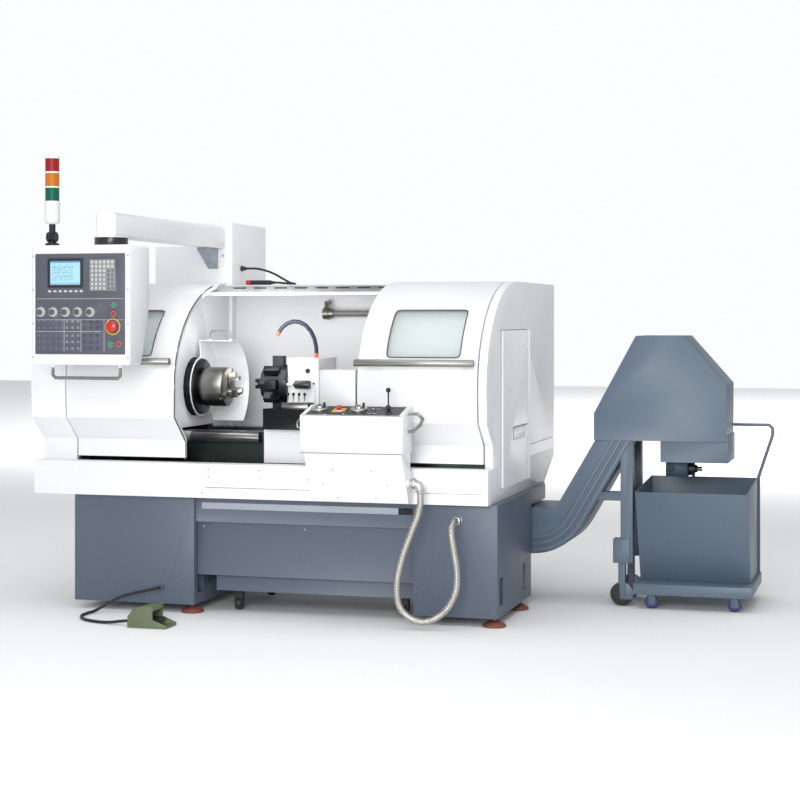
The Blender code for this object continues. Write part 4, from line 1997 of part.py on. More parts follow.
def make_cart():
    cart_y = CART_FRONT + CART_DEPTH / 2
    carrier = pivot("cart_way", (CART_LEFT, cart_y, 0))
    back = CART_FRONT + CART_DEPTH
    top = CART_DECK_BOTTOM + CART_DECK_HEIGHT
    deck = box("deck", (CART_LEFT, CART_FRONT, CART_DECK_BOTTOM), (CART_RIGHT, back, top))
    wall = CART_WALL
    under_low = (CART_LEFT + wall, CART_FRONT + wall, CART_DECK_BOTTOM - OVERRUN)
    under_high = (CART_RIGHT - wall, back - wall, top - wall)
    under = box("under", under_low, under_high)
    inner_y = back - PUSH_INSET - PUSH_RADIUS
    high_x = CART_RIGHT + PUSH_REACH
    foot_x = CART_RIGHT - PUSH_INSET
    left_x = high_x - PUSH_LENGTH
    bend = PUSH_RADIUS * 2
    handle = bent_rod(
        "handle",
        [
            (foot_x, inner_y, top - wall / 2), (foot_x, inner_y, BIN_BACK_TOP),
            (high_x, inner_y, PUSH_TOP - bend * 3), (high_x, inner_y, PUSH_TOP - bend * 2),
            (high_x, inner_y, PUSH_TOP - bend), (high_x - bend, inner_y, PUSH_TOP),
            (left_x + bend, inner_y, PUSH_TOP), (left_x, inner_y, PUSH_TOP - bend), (
                left_x,
                inner_y,
                top - wall / 2,
            ),
        ],
        PUSH_RADIUS,
    )
    cut(deck, [under])
    extras = [handle]
    wheel_places = []
    for across in (CART_LEFT + CART_WHEEL_INSET, CART_RIGHT - CART_WHEEL_INSET):
        for deep in (CART_FRONT + CART_WHEEL_INSET / 2, back - CART_WHEEL_INSET / 2):
            wheel_places.append((across, deep))
            half = CART_WHEEL_WIDTH / 2 + CLEARANCE
            for low_y in (deep - half - CART_FORK_THICKNESS, deep + half):
                low = (across - CART_WHEEL_RADIUS / 2, low_y, CART_WHEEL_RADIUS - CART_AXLE_RADIUS * 2)
                high = (across + CART_WHEEL_RADIUS / 2, low_y + CART_FORK_THICKNESS, top - wall / 2)
                extras.append(box("fork", low, high))
            start = (across, deep - half - CART_FORK_THICKNESS, CART_WHEEL_RADIUS)
            extras.append(rod("axle", CART_AXLE_RADIUS, start, half * 2 + CART_FORK_THICKNESS * 2, "Y"))
    join(deck, extras)
    fit(deck, "cart_frame", CONVEYOR_GREY, carrier)
    make_cart_wheels(wheel_places, carrier)
    make_bin(top, carrier)


def make_cart_wheels(places, carrier):
    for number, (across, deep) in enumerate(places, 1):
        axis = pivot("cart_wheel_%d_axis" % number, (across, deep, CART_WHEEL_RADIUS), carrier)
        half = CART_WHEEL_WIDTH / 2
        bore = CART_AXLE_RADIUS + CLEARANCE
        round_edge = CART_WHEEL_RADIUS / 8
        profile = [
            (bore, half),
            (CART_WHEEL_RADIUS - round_edge, half),
            (CART_WHEEL_RADIUS, half - round_edge),
            (CART_WHEEL_RADIUS, round_edge - half),
            (CART_WHEEL_RADIUS - round_edge, -half),
            (bore, -half),
        ]
        wheel = turned("wheel", profile, (across, deep, CART_WHEEL_RADIUS), "Y", WHEEL_SIDES, closed=True)
        fit(wheel, "cart_wheel_%d" % number, RUBBER, axis)


def make_bin(deck_top, carrier):
    """The chip bin, with a front that leans in towards its floor."""
    left = CART_LEFT + (CART_LENGTH - BIN_LENGTH) / 2
    right = left + BIN_LENGTH
    floor = deck_top + CLEARANCE
    back = CART_FRONT + CART_DEPTH - BIN_BACK_ROOM
    wall = CART_WALL
    outline = [
        (BIN_FRONT + BIN_LEAN, floor), (back, floor), (back, BIN_BACK_TOP), (BIN_FRONT, BIN_FRONT_TOP),
    ]
    body = slab("bin", outline, left, right, "X")
    room = [
        (BIN_FRONT + BIN_LEAN + wall, floor + wall),
        (back - wall, floor + wall),
        (back - wall, BIN_BACK_TOP + OVERRUN),
        (BIN_FRONT - OVERRUN * BIN_LEAN / (BIN_FRONT_TOP - floor) + wall, BIN_FRONT_TOP + OVERRUN),
    ]
    cut(body, [slab("inside", room, left + wall, right - wall, "X")])
    fit(body, "chip_bin", CONVEYOR_GREY, carrier)


def make_switch():
    """The foot switch: a cast hood with a hinged pedal."""
    left = SWITCH_LEFT
    right = left + SWITCH_LENGTH
    back = SWITCH_FRONT + SWITCH_DEPTH
    outline = [(left, 0), (right, 0), (right, SWITCH_BASE * 2)]
    for along, up in SWITCH_HOOD_SHARES:
        outline.append((left + SWITCH_HOOD_LENGTH * along, SWITCH_HEIGHT * up))
    body = slab("switch", outline, SWITCH_FRONT, back, "Y")
    wall = SWITCH_WALL
    room_left = left + PEDAL_HINGE_X - PEDAL_PIN_RADIUS * 2
    room = box(
        "room",
        (room_left, SWITCH_FRONT + wall, SWITCH_BASE),
        (right + OVERRUN, back - wall, SWITCH_HEIGHT * SWITCH_ROOM_SHARE),
    )
    fitting = rod(
        "fitting", LEAD_FITTING_RADIUS, (left + wall / 2, LEAD_END_Y, LEAD_END_Z),
        -(LEAD_FITTING_LENGTH + wall) / 2, "X", WIRE_SIDES,
    )
    join(body, [fitting])
    cut(body, [room])
    fit(body, "foot_switch", OLIVE)
    hinge_x = left + PEDAL_HINGE_X
    axis = pivot("pedal_axis", (hinge_x, SWITCH_FRONT, PEDAL_HINGE_Z))
    middle = (SWITCH_FRONT + back) / 2
    low = (hinge_x, middle - PEDAL_WIDTH / 2, PEDAL_HINGE_Z - PEDAL_THICKNESS / 2)
    pedal = box(
        "pedal",
        low,
        (hinge_x + PEDAL_LENGTH, middle + PEDAL_WIDTH / 2, PEDAL_HINGE_Z + PEDAL_THICKNESS / 2),
    )
    pin_start = (hinge_x, SWITCH_FRONT + wall + CLEARANCE, PEDAL_HINGE_Z)
    pin = rod("pin", PEDAL_PIN_RADIUS, pin_start, SWITCH_DEPTH - wall * 2 - CLEARANCE * 2, "Y")
    join(pedal, [pin])
    fit(pedal, "foot_pedal", BLACK, axis)


def smooth_route(points, steps):
    """Points read from a smooth curve through the route's own points."""
    places = [Vector(point) for point in points]
    ends = [places[0] * 2 - places[1]] + places + [places[-1] * 2 - places[-2]]
    route = []
    for number in range(1, len(ends) - 2):
        before, first, second, after = ends[number - 1:number + 3]
        for step in range(steps):
            share = step / steps
            curve = (
                first * 2
                + (second - before) * share
                + (before * 2 - first * 5 + second * 4 - after) * share ** 2
                + (first * 3 - before - second * 3 + after) * share ** 3
            )
            route.append(curve / 2)
    route.append(places[-1])
    return route


def straight_run(face, direction, run):
    """Three places in line that leave a fitting's face squarely."""
    return [Vector(face) + Vector(direction) * (CLEARANCE + run * step) for step in range(3)]


def cord(name, points, radius, resolution, material):
    curve = bpy.data.curves.new(name, "CURVE")
    curve.dimensions = "3D"
    curve.bevel_depth = radius
    curve.bevel_resolution = resolution
    curve.use_fill_caps = True
    route = smooth_route(points, ROUTE_STEPS)
    spline = curve.splines.new("POLY")
    spline.points.add(len(route) - 1)
    for point, place in zip(spline.points, route):
        point.co = (*place, 1)
    item = add_object(name, curve)
    fit(item, name, material)


def make_cords():
    elbow = (DESK_LEFT + DESK_LENGTH + ELBOW_REACH, ELBOW_Y, ELBOW_Z - ELBOW_DROP)
    socket = (HOSE_END_X, BASE_FRONT - HOSE_FITTING_LENGTH, HOSE_END_Z)
    first = straight_run(elbow, (0, 0, -1), HOSE_RUN)
    last = straight_run(socket, (0, -1, 0), HOSE_RUN)
    cord("apron_hose", first + list(HOSE_ROUTE) + last[::-1], HOSE_RADIUS, 2, HOSE_STEEL)
    outlet = (LEAD_START_X, BASE_FRONT - LEAD_FITTING_LENGTH, LEAD_START_Z)
    inlet = (SWITCH_LEFT - LEAD_FITTING_LENGTH / 2, LEAD_END_Y, LEAD_END_Z)
    first = straight_run(outlet, (0, -1, 0), LEAD_RUN)
    last = straight_run(inlet, (-1, 0, 0), LEAD_RUN)
    cord("foot_cord", first + list(LEAD_ROUTE) + last[::-1], LEAD_RADIUS, 1, BLACK)


def main():
    make_base()
    make_feet()
    make_front_panel()
    make_tank()
    make_pan()
    make_cover("left_cover", 0, 1, LEFT_STRIP_LENGTH, LEFT_COVER_LENGTH, True)
    make_cover("right_cover", PAN_LENGTH, -1, RIGHT_STRIP_LENGTH, RIGHT_COVER_LENGTH, False)
    make_door("left", LEFT_DOOR_LEFT)
    make_door("right", RIGHT_DOOR_LEFT)
    make_rail()
    make_access_door()
    make_rear()
    make_column()
    make_bed()
    make_headstock()
    make_spindle()
    make_guard()
    make_carriage()
    make_tailstock()
    make_arm()
    make_pendant()
    make_conveyor()
    make_cart()
    make_switch()
    make_cords()


main()
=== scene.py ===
import math

import bmesh
import bpy
from mathutils import Matrix, Vector


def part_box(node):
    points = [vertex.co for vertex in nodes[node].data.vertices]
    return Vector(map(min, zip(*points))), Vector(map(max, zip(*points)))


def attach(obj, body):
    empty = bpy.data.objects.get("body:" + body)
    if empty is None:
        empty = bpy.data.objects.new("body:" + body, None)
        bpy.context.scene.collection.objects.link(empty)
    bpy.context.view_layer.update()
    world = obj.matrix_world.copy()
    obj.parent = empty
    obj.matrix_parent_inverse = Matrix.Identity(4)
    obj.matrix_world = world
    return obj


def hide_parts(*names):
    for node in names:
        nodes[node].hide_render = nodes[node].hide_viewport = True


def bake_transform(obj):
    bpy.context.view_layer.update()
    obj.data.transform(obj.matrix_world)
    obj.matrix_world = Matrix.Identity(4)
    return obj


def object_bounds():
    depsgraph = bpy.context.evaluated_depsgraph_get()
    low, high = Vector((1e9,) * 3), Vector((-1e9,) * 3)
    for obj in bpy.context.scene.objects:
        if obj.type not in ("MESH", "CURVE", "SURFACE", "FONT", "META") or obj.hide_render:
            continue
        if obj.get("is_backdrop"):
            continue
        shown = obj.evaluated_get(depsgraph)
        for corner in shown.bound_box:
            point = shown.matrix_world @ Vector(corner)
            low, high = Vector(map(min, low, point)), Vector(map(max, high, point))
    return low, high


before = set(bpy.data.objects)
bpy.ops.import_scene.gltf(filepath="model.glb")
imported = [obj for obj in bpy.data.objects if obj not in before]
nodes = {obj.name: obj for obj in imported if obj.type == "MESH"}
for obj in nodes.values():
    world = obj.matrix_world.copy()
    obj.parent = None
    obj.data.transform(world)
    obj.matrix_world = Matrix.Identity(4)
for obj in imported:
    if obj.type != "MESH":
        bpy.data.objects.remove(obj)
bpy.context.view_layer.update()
origin = Vector((-1.822, -0.6037, 0))  # the machine's own corner, seen from the frame's middle


def at(x, y, z):
    return Vector((x, y, z)) + origin


# A socket that takes part in Python expressions: each operator adds its Math node
class Value:
    def __init__(self, graph, socket):
        self.graph = graph
        self.socket = socket

    def mathNode(self, operation, other, swapped=False):
        pair = [self, other]
        if swapped:
            pair.reverse()
        node = self.graph.add("ShaderNodeMath", {0: pair[0], 1: pair[1]}, operation=operation)
        return Value(self.graph, node.outputs[0])

    def __add__(self, other):
        return self.mathNode("ADD", other)

    def __radd__(self, other):
        return self.mathNode("ADD", other, True)

    def __sub__(self, other):
        return self.mathNode("SUBTRACT", other)

    def __rsub__(self, other):
        return self.mathNode("SUBTRACT", other, True)

    def __mul__(self, other):
        return self.mathNode("MULTIPLY", other)

    def __rmul__(self, other):
        return self.mathNode("MULTIPLY", other, True)

    def __gt__(self, other):
        return self.mathNode("GREATER_THAN", other)

    def __lt__(self, other):
        return self.mathNode("LESS_THAN", other)

    def fract(self):
        return self.mathNode("FRACT", 0)

    def angleTo(self, across):
        return self.mathNode("ARCTAN2", across)

    def absolute(self):
        return self.mathNode("ABSOLUTE", 0)

    def ramp(self, low, high, outLow=0.0, outHigh=1.0):
        settings = {"Value": self, "From Min": low, "From Max": high, "To Min": outLow, "To Max": outHigh}
        return Value(self.graph, self.graph.add("ShaderNodeMapRange", settings).outputs[0])


# One material's node tree
class Graph:
    def __init__(self, name):
        self.material = bpy.data.materials.new(name)
        self.material.use_nodes = True
        self.tree = self.material.node_tree
        self.shader = self.tree.nodes["Principled BSDF"]
        self.shader.inputs["Coat Roughness"].default_value = 0.3
        self.place = self.add("ShaderNodeTexCoord").outputs["Object"]

    def add(self, kind, inputs=None, **settings):
        node = self.tree.nodes.new(kind)
        for key, value in settings.items():
            setattr(node, key, value)
        for key, value in (inputs or {}).items():
            self.feed(node, key, value)
        return node

    def feed(self, node, key, value):
        socket = node.inputs[key]
        if isinstance(value, Value):
            self.tree.links.new(value.socket, socket)
        elif isinstance(value, bpy.types.NodeSocket):
            self.tree.links.new(value, socket)
        else:
            socket.default_value = value

    def axes(self):
        split = self.add("ShaderNodeSeparateXYZ", {0: self.place})
        return [Value(self, output) for output in split.outputs]

    def zone(self, low, high):
        share = None
        for place, least, most in zip(self.axes(), at(*low), at(*high)):
            inside = (place > least) * (place < most)
            share = inside if share is None else share * inside
        return share

    def noise(self, scale, detail=3.0, stretch=(1, 1, 1), rough=0.5):
        mapping = self.add("ShaderNodeMapping", {"Vector": self.place, "Scale": stretch})
        settings = {"Vector": mapping.outputs[0], "Scale": scale, "Detail": detail, "Roughness": rough}
        return Value(self, self.add("ShaderNodeTexNoise", settings).outputs[0])

    def mix(self, factor, first, second):
        node = self.add("ShaderNodeMix", {0: factor}, data_type="RGBA")
        self.feed(node, 6, first)
        self.feed(node, 7, second)
        return node.outputs[2]

    def bump(self, height, distance):
        return self.add("ShaderNodeBump", {"Height": height, "Distance": distance}).outputs[0]

    def set(self, **values):
        names = {"colour": "Base Color", "rough": "Roughness", "metal": "Metallic", "coat": "Coat Weight",
                 "alpha": "Alpha", "glow": "Emission Color", "glowStrength": "Emission Strength",
                 "normal": "Normal"}
        for key, value in values.items():
            self.feed(self.shader, names[key], value)
        return self.material


def rgb(red, green, blue):
    return (red, green, blue, 1)


def scaled(colour, share):
    return (colour[0] * share, colour[1] * share, colour[2] * share, 1)


# Sprayed sheet metal. A zone is a box that takes a colour, roughness and metal share of its own,
# for a bare fitting that is one solid with the painted sheet.
def paint(name, colour, rough=0.42, grain=0.00006, dirt=0.12, coat=0.15, zones=()):
    graph = Graph(name)
    peel = graph.noise(620, 2)  # orange peel
    cloud = graph.noise(2.3, 5)  # broad unevenness
    speck = graph.noise(38, 6, rough=0.7)  # grime
    splash = graph.axes()[2].ramp(0.0, 0.35, 1.0, 0.0)  # more of it near the floor
    grime = (speck.ramp(0.48, 0.72) * (cloud.ramp(0.35, 0.7) * 0.6 + splash * 0.5)) * dirt
    tone = graph.mix(cloud.ramp(0.3, 0.7), scaled(colour, 0.96), colour)
    tone = graph.mix(grime, tone, scaled(colour, 0.45))
    sheen = cloud.ramp(0.3, 0.7, rough - 0.05, rough + 0.06)
    metal = 0.0
    for low, high, other, otherRough, otherMetal in zones:
        share = graph.zone(low, high)
        tone = graph.mix(share, tone, graph.mix(speck.ramp(0.35, 0.65), other, scaled(other, 0.7)))
        sheen = sheen * (1 - share) + share * otherRough
        metal = metal + share * otherMetal
    return graph.set(colour=tone, rough=sheen, metal=metal, coat=coat, normal=graph.bump(peel, grain))


# Metal with fine lines along its first axis
def brushed(name, colour, rough=0.3, stretch=(4, 240, 240), wear=0.12):
    graph = Graph(name)
    lines = graph.noise(3, 4, stretch)
    cloud = graph.noise(9, 4)
    tone = graph.mix(lines.ramp(0.3, 0.7), scaled(colour, 1 - wear), colour)
    return graph.set(colour=tone, metal=1.0, rough=(cloud * 0.12 + lines * 0.14) + (rough - 0.12),
                     normal=graph.bump(lines, 0.00005))


# Pitted casting with patches of oil
def cast(name, colour, rough=0.5, metal=0.6, grain=0.0002):
    graph = Graph(name)
    pits = graph.noise(260, 5, rough=0.65)
    cloud = graph.noise(7, 5)
    oil = cloud.ramp(0.42, 0.62)
    tone = graph.mix(oil, colour, scaled(colour, 0.6))
    return graph.set(colour=tone, metal=metal, rough=oil.ramp(0, 1, rough, rough - 0.18),
                     coat=oil * 0.3, normal=graph.bump(pits, grain))


# Oily black-green ground iron, with a bright telescopic screw cover along its front: the cover's steel tone
# is partly its own and partly a painted reflection, and its collar is painted bright as a highlight
def bedWays(name):
    graph = Graph(name)
    pits = graph.noise(240, 5, rough=0.65)
    cloud = graph.noise(6, 5, (0.4, 1, 1))
    grind = graph.noise(5, 3, (2, 160, 160))
    oil = cloud.ramp(0.4, 0.62)
    # the screw cover's zone, coloured lighter than the iron: part steel, part painted reflection
    cover = graph.zone((0.60, 0.30, 0.80), (1.15, 0.3995, 0.95))
    # the collar's zone, painted bright as a highlight on the steel
    collarAndHighlight = graph.zone((0.60, 0.30, 0.80), (0.72, 0.3995, 0.95))
    iron = graph.mix(oil, rgb(0.030, 0.046, 0.040), rgb(0.010, 0.018, 0.016))
    steelWithPaintedReflection = graph.mix(grind.ramp(0.3, 0.7), rgb(0.20, 0.20, 0.20), rgb(0.10, 0.10, 0.10))
    steelWithPaintedReflection = graph.mix(collarAndHighlight, steelWithPaintedReflection, rgb(0.62, 0.62, 0.60))
    return graph.set(colour=graph.mix(cover, iron, steelWithPaintedReflection), metal=cover.ramp(0, 1, 0.55, 1.0),
                     rough=oil.ramp(0, 1, 0.36, 0.22), normal=graph.bump(pits, 0.00015))


# Moulded plastic or rubber with a leather grain
def plastic(name, colour, rough=0.4, grain=0.00003, coat=0.0):
    graph = Graph(name)
    leather = graph.noise(900, 2)
    cloud = graph.noise(14, 3)
    tone = graph.mix(cloud.ramp(0.35, 0.65), colour, scaled(colour, 0.86))
    return graph.set(colour=tone, rough=cloud.ramp(0.3, 0.7, rough - 0.06, rough + 0.08), coat=coat,
                     normal=graph.bump(leather, grain))


def glassy(name, colour, alpha):
    graph = Graph(name)
    smear = graph.noise(3, 4, (1, 1, 0.3))
    graph.material.blend_method = "BLEND"
    return graph.set(colour=colour, rough=smear.ramp(0.4, 0.7, 0.04, 0.16), coat=0.5,
                     alpha=smear.ramp(0.3, 0.7, alpha, alpha + 0.1))


# Braided steel over rubber: fine crossing strands round the hose
def braid(name, strands=74, slant=0.62):
    graph = Graph(name)
    across, deep, height = graph.axes()
    lay = (across + deep) * slant
    leftLay = ((height + lay) * strands).fract()
    rightLay = ((height - lay) * strands).fract()
    weave = (leftLay - 0.5).absolute() + (rightLay - 0.5).absolute()
    cloud = graph.noise(14, 3)
    tone = graph.mix(weave.ramp(0.12, 0.62), rgb(0.11, 0.105, 0.098), rgb(0.60, 0.58, 0.54))
    tone = graph.mix(cloud.ramp(0.45, 0.8, 0, 0.45), tone, rgb(0.30, 0.28, 0.25))
    return graph.set(colour=tone, metal=0.7, rough=weave.ramp(0.1, 0.8, 0.5, 0.26),
                     normal=graph.bump(weave, 0.0016))


tower = {"ribs": 240, "spacer": rgb(0.78, 0.79, 0.80), "bands": (  # each band's foot, top and colour
    (2.219, 2.284, rgb(0.30, 0.012, 0.016)), (2.146, 2.211, rgb(0.56, 0.155, 0.012)),
    (2.073, 2.138, rgb(0.004, 0.105, 0.062)), (1.0, 1.958, rgb(0.022, 0.022, 0.024)))}


def towerLens(name):
    graph = Graph(name)
    graph.shader.inputs["Specular IOR Level"].default_value = 0.2
    height = graph.axes()[2]
    ribs = (height * tower["ribs"]).fract()
    colour = tower["spacer"]
    for low, high, tone in tower["bands"]:
        colour = graph.mix((height > low) * (height < high), colour, tone)
    return graph.set(colour=colour, rough=ribs.ramp(0, 1, 0.32, 0.42), coat=0.12,
                     normal=graph.bump(ribs, 0.0004))


nozzle = {"middle": (1.2609, 0, 1.3183), "beads": 6.2, "groove": 0.14, "tipFrom": 2.28, "footBelow": 1.309,
          "blue": rgb(0.011, 0.017, 0.055), "joint": rgb(0.003, 0.003, 0.008),
          "orange": rgb(0.80, 0.14, 0.02)}


# Blue plastic beads along the nozzle's arc, with an orange tip and foot ring
def jointedHose(name):
    graph = Graph(name)
    across, _, height = graph.axes()
    middle = at(*nozzle["middle"])
    angle = (height - middle.z).angleTo(across - middle.x)
    beads = (angle * nozzle["beads"]).fract()
    tip = angle > nozzle["tipFrom"]
    foot = height < nozzle["footBelow"]
    groove = (beads < nozzle["groove"]) * (1 - tip)
    colour = graph.mix(groove, nozzle["blue"], nozzle["joint"])
    colour = graph.mix(tip + foot, colour, nozzle["orange"])
    return graph.set(colour=colour, rough=beads.ramp(0, 1, 0.26, 0.42), coat=0.25,
                     normal=graph.bump(beads.ramp(0, 0.2), 0.002))


# A lit screen with rows of marks that say nothing, a header and a footer
def screenGlow(name, low, high, rows=13):
    graph = Graph(name)
    across, _, height = graph.axes()
    u = across.ramp(low.x, high.x)
    v = height.ramp(low.z, high.z)
    marks = graph.noise(90, 1, (2.6, 0, 1.0))
    ink = ((v * rows).fract() > 0.45) * (marks > 0.53) * (v < 0.88) * (v > 0.16) * (u > 0.05) * (u < 0.78)
    tone = graph.mix(ink, rgb(0.36, 0.60, 0.70), rgb(0.07, 0.20, 0.32))
    tone = graph.mix(v > 0.92, tone, rgb(0.12, 0.32, 0.50))
    tone = graph.mix(v < 0.1, tone, rgb(0.24, 0.48, 0.58))
    return graph.set(colour=tone, rough=v.ramp(0, 1, 0.1, 0.16), glow=tone, glowStrength=0.1)


# Steel turned in fine rings round a centre
def dial(name, centre, rings=900):
    graph = Graph(name)
    cloud = graph.noise(160, 2)
    spot = graph.add("ShaderNodeVectorMath", {0: graph.place, 1: tuple(centre)}, operation="DISTANCE")
    groove = (Value(graph, spot.outputs["Value"]) * rings).fract()
    tone = graph.mix(cloud.ramp(0.35, 0.65), rgb(0.62, 0.62, 0.61), rgb(0.44, 0.44, 0.44))
    return graph.set(colour=tone, metal=1.0, rough=groove.ramp(0, 1, 0.2, 0.36),
                     normal=graph.bump(groove, 0.00012))


# White enamel and the fittings on it
enamel = {"colour": rgb(0.84, 0.85, 0.865), "rough": 0.34, "grain": 0.00005, "dirt": 0.04, "coat": 0.3}
steelTone = rgb(0.50, 0.49, 0.47)
tubeTone = rgb(0.36, 0.36, 0.33)
rubberTone = rgb(0.022, 0.024, 0.020)
blackTone = rgb(0.014, 0.014, 0.015)
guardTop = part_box("chuck_guard")[1].z
white = paint("machineWhite", **enamel)
deskWhite = paint("deskWhite", **enamel, zones=[  # two D handles and the elbow
    ((2.0385, -0.30, 0.88), (2.20, 0.0, 1.06), tubeTone, 0.32, 1.0),
    ((1.40, -0.30, 0.88), (1.5235, 0.0, 1.03), tubeTone, 0.32, 1.0),
    ((2.0385, -0.30, 0.60), (2.20, 0.0, 0.76), rgb(0.58, 0.58, 0.56), 0.3, 0.6)])
pendantWhite = paint("pendantWhite", **enamel, zones=[  # U handle
    ((0.10, -0.45, 1.15), (0.80, -0.05, 1.2495), tubeTone, 0.32, 1.0)])
# The column's bracket under the arm is painted blue-grey: painted shade where the arm above shades it
columnWhite = paint("columnWhite", **enamel, zones=[  # bracket under the arm
    ((0.10, 0.85, 1.40), (0.80, 1.0995, 2.20), rgb(0.34, 0.39, 0.44), 0.4, 0.1)])
guardWhite = paint("guardWhite", **enamel, zones=[  # loop handle
    ((0, 0, guardTop - 0.048), (2.4, 2, 2), rgb(0.30, 0.305, 0.31), 0.4, 0.3)])
armWhite = paint("armWhite", **enamel, zones=[  # collar
    ((0.45, -0.40, 1.80), (0.70, -0.15, 1.8868), blackTone, 0.3, 0.0)])
housingWhite = paint("turretWhite", **{**enamel, "rough": 0.32}, zones=[  # lever rods and their knobs
    ((1.20, 0.24, 1.03), (1.43, 0.3595, 1.0612), rgb(0.30, 0.29, 0.27), 0.35, 1.0),
    ((1.20, 0.24, 1.0612), (1.43, 0.3595, 1.0935), steelTone, 0.25, 1.0),
    ((1.20, 0.24, 1.0935), (1.43, 0.3595, 1.12), blackTone, 0.25, 0.0),
    ((1.29, 0.24, 1.12), (1.43, 0.3595, 1.19), blackTone, 0.35, 0.0)])

# Blue-grey paint, dirtier near the floor
greyCoat = {"rough": 0.46, "grain": 0.00009, "coat": 0.1}
blueGrey = paint("baseBlueGrey", rgb(0.087, 0.112, 0.154), **greyCoat, dirt=0.2, zones=[  # hose socket
    ((2.205, 0.0, 0.48), (2.265, 0.0499, 0.545), steelTone, 0.3, 1.0)])
tankGrey = paint("tankBlueGrey", rgb(0.090, 0.118, 0.160), **greyCoat, dirt=0.25, zones=[  # casters
    ((0.9, 0.0, 0.0), (2.1, 0.9, 0.1095), rubberTone, 0.6, 0.0)])
conveyorGrey = paint("conveyorBlueGrey", rgb(0.098, 0.138, 0.188), **greyCoat, dirt=0.15)
legGrey = paint("legBlueGrey", rgb(0.096, 0.136, 0.184), **greyCoat, dirt=0.2, zones=[  # tyres
    ((2.80, 0.8, 0.0), (2.8945, 1.3, 0.115), rubberTone, 0.65, 0.0),
    ((2.80, 0.8, 0.0), (3.0, 1.3, 0.034), rubberTone, 0.65, 0.0)])
tailGrey = paint("castPaint", rgb(0.11, 0.13, 0.16), 0.5, 0.0002, 0.3, 0.1)
blackOxide = cast("blackOxide", rgb(0.018, 0.021, 0.023), 0.42, 0.8)
bedIron = bedWays("bedIron")
steel = brushed("turnedSteel", rgb(0.60, 0.60, 0.59), 0.26)
chuckSteel = brushed("chuckSteel", rgb(0.30, 0.29, 0.28), 0.3)
jawSteel = brushed("jawSteel", rgb(0.40, 0.38, 0.35), 0.34)
handleSteel = brushed("handleSteel", rgb(0.35, 0.36, 0.32), 0.32)
aluminium = cast("railAluminium", rgb(0.29, 0.295, 0.30), 0.5, 0.35)
glass = glassy("windowGlass", rgb(0.62, 0.72, 0.70), 0.22)
slate = plastic("panelSlate", rgb(0.088, 0.096, 0.122), 0.45)
bezelBlack = plastic("bezelBlack", rgb(0.018, 0.020, 0.030), 0.3, coat=0.2)
stopRed = plastic("stopRed", rgb(0.55, 0.012, 0.012), 0.25, coat=0.5)
black = plastic("blackPlastic", rgb(0.015, 0.015, 0.016), 0.42)
padBrown = cast("padBrown", rgb(0.20, 0.060, 0.040), 0.6, 0.1)
olive = paint("switchOlive", rgb(0.115, 0.150, 0.080), 0.5, 0.0005, 0.4, 0.1)
wheelBlue = plastic("wheelBlue", rgb(0.022, 0.038, 0.15), 0.4)
yellow = plastic("signalYellow", rgb(0.80, 0.52, 0.02), 0.4)
keyGrey = plastic("keyGrey", rgb(0.55, 0.56, 0.56), 0.5)
keyDark = plastic("keyDark", rgb(0.13, 0.145, 0.20), 0.5)
keyBlue = plastic("keyBlue", rgb(0.040, 0.060, 0.135), 0.45)
keyDim = plastic("keyDim", rgb(0.25, 0.26, 0.31), 0.5)
keyBoard = plastic("keyBoard", rgb(0.26, 0.26, 0.255), 0.5)
stripGrey = paint("stripGrey", rgb(0.36, 0.39, 0.45), 0.4, 0.00005, 0.1, 0.1)
ivory = plastic("knobIvory", rgb(0.66, 0.63, 0.55), 0.35, coat=0.2)
buttonGreen = plastic("buttonGreen", rgb(0.02, 0.28, 0.10), 0.35, coat=0.3)
shadow = plastic("seamShadow", rgb(0.02, 0.022, 0.025), 0.8)
labelWhite = plastic("labelWhite", rgb(0.72, 0.73, 0.74), 0.5)
cableBlack = plastic("cableBlack", rgb(0.012, 0.012, 0.013), 0.5)
castBrass = brushed("castBrass", rgb(0.30, 0.29, 0.24), 0.36)
deckBlack = plastic("deckBlack", rgb(0.045, 0.045, 0.044), 0.45)
motorTeal = cast("motorTeal", rgb(0.020, 0.050, 0.080), 0.45, 0.15)
hoseBraid = braid("hoseBraid")
beads = jointedHose("nozzleBeads")
gasket = plastic("gasketRubber", rgb(0.10, 0.105, 0.11), 0.6)
print("materials made")

smoothAngle = math.radians(32)  # edges flatter than this are shaded smooth


def smoothGroup():
    group = bpy.data.node_groups.new("smoothByAngle", "GeometryNodeTree")
    for way in ("INPUT", "OUTPUT"):
        group.interface.new_socket("Geometry", in_out=way, socket_type="NodeSocketGeometry")
    new, link = group.nodes.new, group.links.new
    source = new("NodeGroupInput")
    angle = new("GeometryNodeInputMeshEdgeAngle")
    limit = new("FunctionNodeCompare")
    limit.operation = "LESS_EQUAL"
    limit.inputs[1].default_value = smoothAngle
    shade = new("GeometryNodeSetShadeSmooth")
    shade.domain = "EDGE"
    result = new("NodeGroupOutput")
    link(source.outputs[0], shade.inputs["Geometry"])
    link(angle.outputs[0], limit.inputs[0])
    link(limit.outputs[0], shade.inputs["Shade Smooth"])
    link(shade.outputs[0], result.inputs[0])
    return group


smoothByAngle = smoothGroup()


def addObject(name, data):
    made = bpy.data.objects.new(name, data)
    bpy.context.scene.collection.objects.link(made)
    return made


def shadeSmooth(piece):
    piece.data.shade_smooth()
    piece.modifiers.new("smooth", "NODES").node_group = smoothByAngle


def roundEdges(piece, width):
    edges = piece.modifiers.new("edges", "BEVEL")
    edges.width = width
    edges.segments = 2
    edges.limit_method = "ANGLE"
    return edges


# CAD solids keep their form: they get a material and, with a width, rounded edges
def dress(names, material, width=0.0):
    for name in names.split():
        node = nodes[name]
        node.data.materials.clear()
        node.data.materials.append(material)
        node.modifiers.new("weld", "WELD").merge_threshold = 0.00001
        if width:
            edges = roundEdges(node, width)
            edges.angle_limit = math.radians(40)
            edges.harden_normals = True
        shadeSmooth(node)


